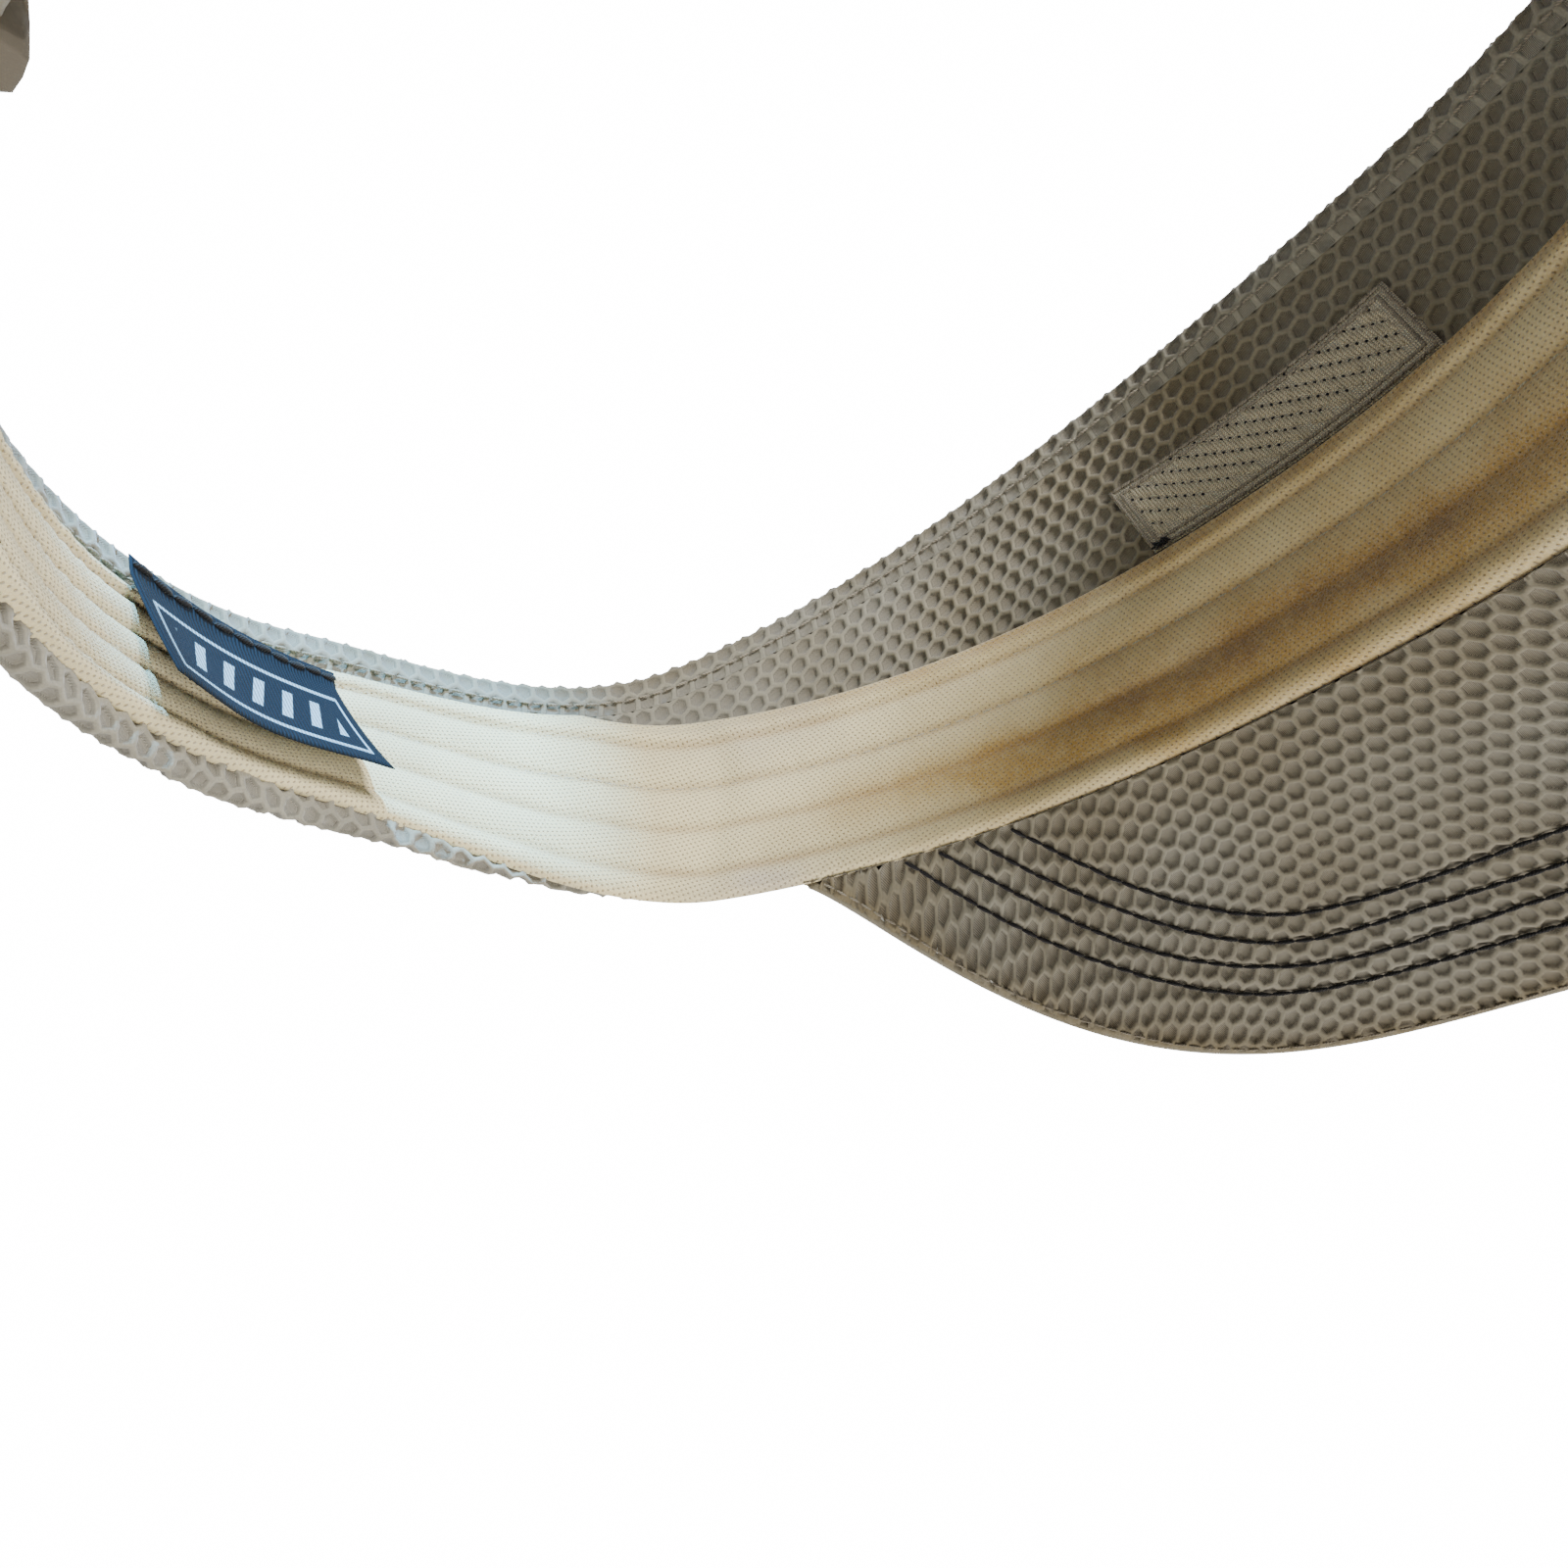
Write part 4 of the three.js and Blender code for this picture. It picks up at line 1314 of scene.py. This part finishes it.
def area_light(name, place, aim, size, power, colour):
    lamp = bpy.data.lights.new(name, "AREA")
    lamp.shape = "DISK"
    lamp.size = size
    lamp.energy = power
    lamp.color = colour
    put(name, lamp, place, towards(place, aim))


def floor_material(colour):
    """A pale matt floor, clear from below and to light so that the visor's underside is lit and seen."""
    material = bpy.data.materials.new("Pale Floor")
    material.use_nodes = True
    shading = Shading(material.node_tree)
    shader = material.node_tree.nodes["Principled BSDF"]
    shader.inputs["Base Color"].default_value = tint(colour, 1)
    shader.inputs["Roughness"].default_value = 0.9
    below = shading.node("ShaderNodeNewGeometry").outputs["Backfacing"]
    shadow = shading.node("ShaderNodeLightPath").outputs["Is Shadow Ray"]
    clear = shading.node("ShaderNodeBsdfTransparent").outputs[0]
    mixed = shading.node("ShaderNodeMixShader", inputs={0: shading.math("MAXIMUM", below, shadow)})
    shading.join(mixed.inputs[1], shader.outputs[0])
    shading.join(mixed.inputs[2], clear)
    shading.join(material.node_tree.nodes["Material Output"].inputs["Surface"], mixed.outputs[0])
    return material


class VISOR_OT_stage(bpy.types.Operator):
    """Pale floor, soft lights, a low bluish sun on the left arm, a bright backdrop and the camera"""
    bl_idname = "visor.stage"
    bl_label = "Stage"

    def execute(self, context):
        settings = context.scene.visor_stage
        bm = bmesh.new()
        bmesh.ops.create_grid(bm, x_segments=1, y_segments=1, size=3)
        bmesh.ops.translate(bm, verts=bm.verts[:], vec=(0, 0, -0.0008))
        mesh = bpy.data.meshes.new("floor")
        bm.to_mesh(mesh)
        bm.free()
        mesh.materials.append(floor_material(settings.floor_colour))
        floor = put("floor", mesh)

        key = settings.key_power
        middle = (0.02, -0.01, 0.05)
        area_light("Key", (-0.6, 0.03, 0.27), (0.07, 0.03, 0.03), 0.16, 1.95 * key, (0.94, 0.97, 1))
        area_light("Fill", (0.5, -0.5, 0.6), middle, 0.6, 0.5 * key, (1, 0.98, 0.95))
        area_light("Under", (-0.12, -0.26, -0.55), (0.02, -0.09, 0), 0.7, 1.45 * key, (1, 0.985, 0.96))

        beam = bpy.data.lights.new("Low Sun", "SPOT")
        beam.energy = 24 * key
        beam.color = (0.27, 0.62, 1)
        beam.spot_size = math.radians(8)
        beam.spot_blend = 0.08
        beam.shadow_soft_size = 0.012
        place = (-0.42, 0.30, 0.36)
        sun = put("Low Sun", beam, place, towards(place, wall_spot(183, 24, 0)))
        passed_by = bpy.data.collections.new("Not In The Low Sun")
        passed_by.objects.link(floor)
        passed_by.collection_objects[0].light_linking.link_state = "EXCLUDE"
        sun.light_linking.receiver_collection = passed_by

        world = bpy.data.worlds.new("Studio")
        world.use_nodes = True
        context.scene.world = world
        shading = Shading(world.node_tree)
        light = world.node_tree.nodes["Background"]
        light.inputs["Color"].default_value = (0.95, 0.96, 1, 1)
        light.inputs["Strength"].default_value = 0.27
        seen = shading.node("ShaderNodeBackground", inputs={"Color": (1, 1, 1, 1), "Strength": 16.0})
        camera_ray = shading.node("ShaderNodeLightPath").outputs["Is Camera Ray"]
        mixed = shading.node("ShaderNodeMixShader", inputs={0: camera_ray})
        shading.join(mixed.inputs[1], light.outputs[0])
        shading.join(mixed.inputs[2], seen.outputs[0])
        shading.join(world.node_tree.nodes["World Output"].inputs["Surface"], mixed.outputs[0])

        eye = bpy.data.cameras.new("Camera")
        eye.lens = settings.lens
        eye.sensor_width = 36
        eye.clip_start = 0.005
        eye.clip_end = 20
        context.scene.camera = put("Camera", eye, settings.camera_place, settings.camera_turn)
        return {"FINISHED"}


PIECES = (VISOR_OT_band, VISOR_OT_sweatband, VISOR_OT_peak, VISOR_OT_emblem, VISOR_OT_closure, VISOR_OT_label)
SETTINGS = {
    "visor_knit": VisorKnitSettings, "visor_sweatband": VisorSweatbandSettings, "visor_threads": VisorThreadSettings,
    "visor_label": VisorLabelSettings, "visor_strap": VisorStrapSettings, "visor_stage": VisorStageSettings,
}


class VISOR_PT_pieces(bpy.types.Panel):
    """Lists the visor's pieces and their settings"""
    bl_idname = "VISOR_PT_pieces"
    bl_label = "Sun Visor"
    bl_space_type = "VIEW_3D"
    bl_region_type = "UI"
    bl_category = "Sun Visor"

    def draw(self, context):
        for operator in (VISOR_OT_stage,) + PIECES:
            self.layout.operator(operator.bl_idname)
        for name, group in SETTINGS.items():
            box = self.layout.box()
            box.label(text=group.__doc__)
            for setting in group.__annotations__:
                box.prop(getattr(context.scene, name), setting)


CLASSES = tuple(SETTINGS.values()) + (VISOR_OT_stage,) + PIECES + (VISOR_PT_pieces,)


def register():
    for cls in CLASSES:
        bpy.utils.register_class(cls)
    for name, group in SETTINGS.items():
        setattr(bpy.types.Scene, name, PointerProperty(type=group))


def unregister():
    for name in SETTINGS:
        delattr(bpy.types.Scene, name)
    for cls in reversed(CLASSES):
        bpy.utils.unregister_class(cls)


def main():
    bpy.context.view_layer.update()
    register()
    bpy.ops.visor.stage()
    bpy.ops.visor.band()
    bpy.ops.visor.sweatband()
    bpy.ops.visor.peak()
    bpy.ops.visor.emblem()
    bpy.ops.visor.closure()
    bpy.ops.visor.label()


if __name__ == "__main__":
    main()
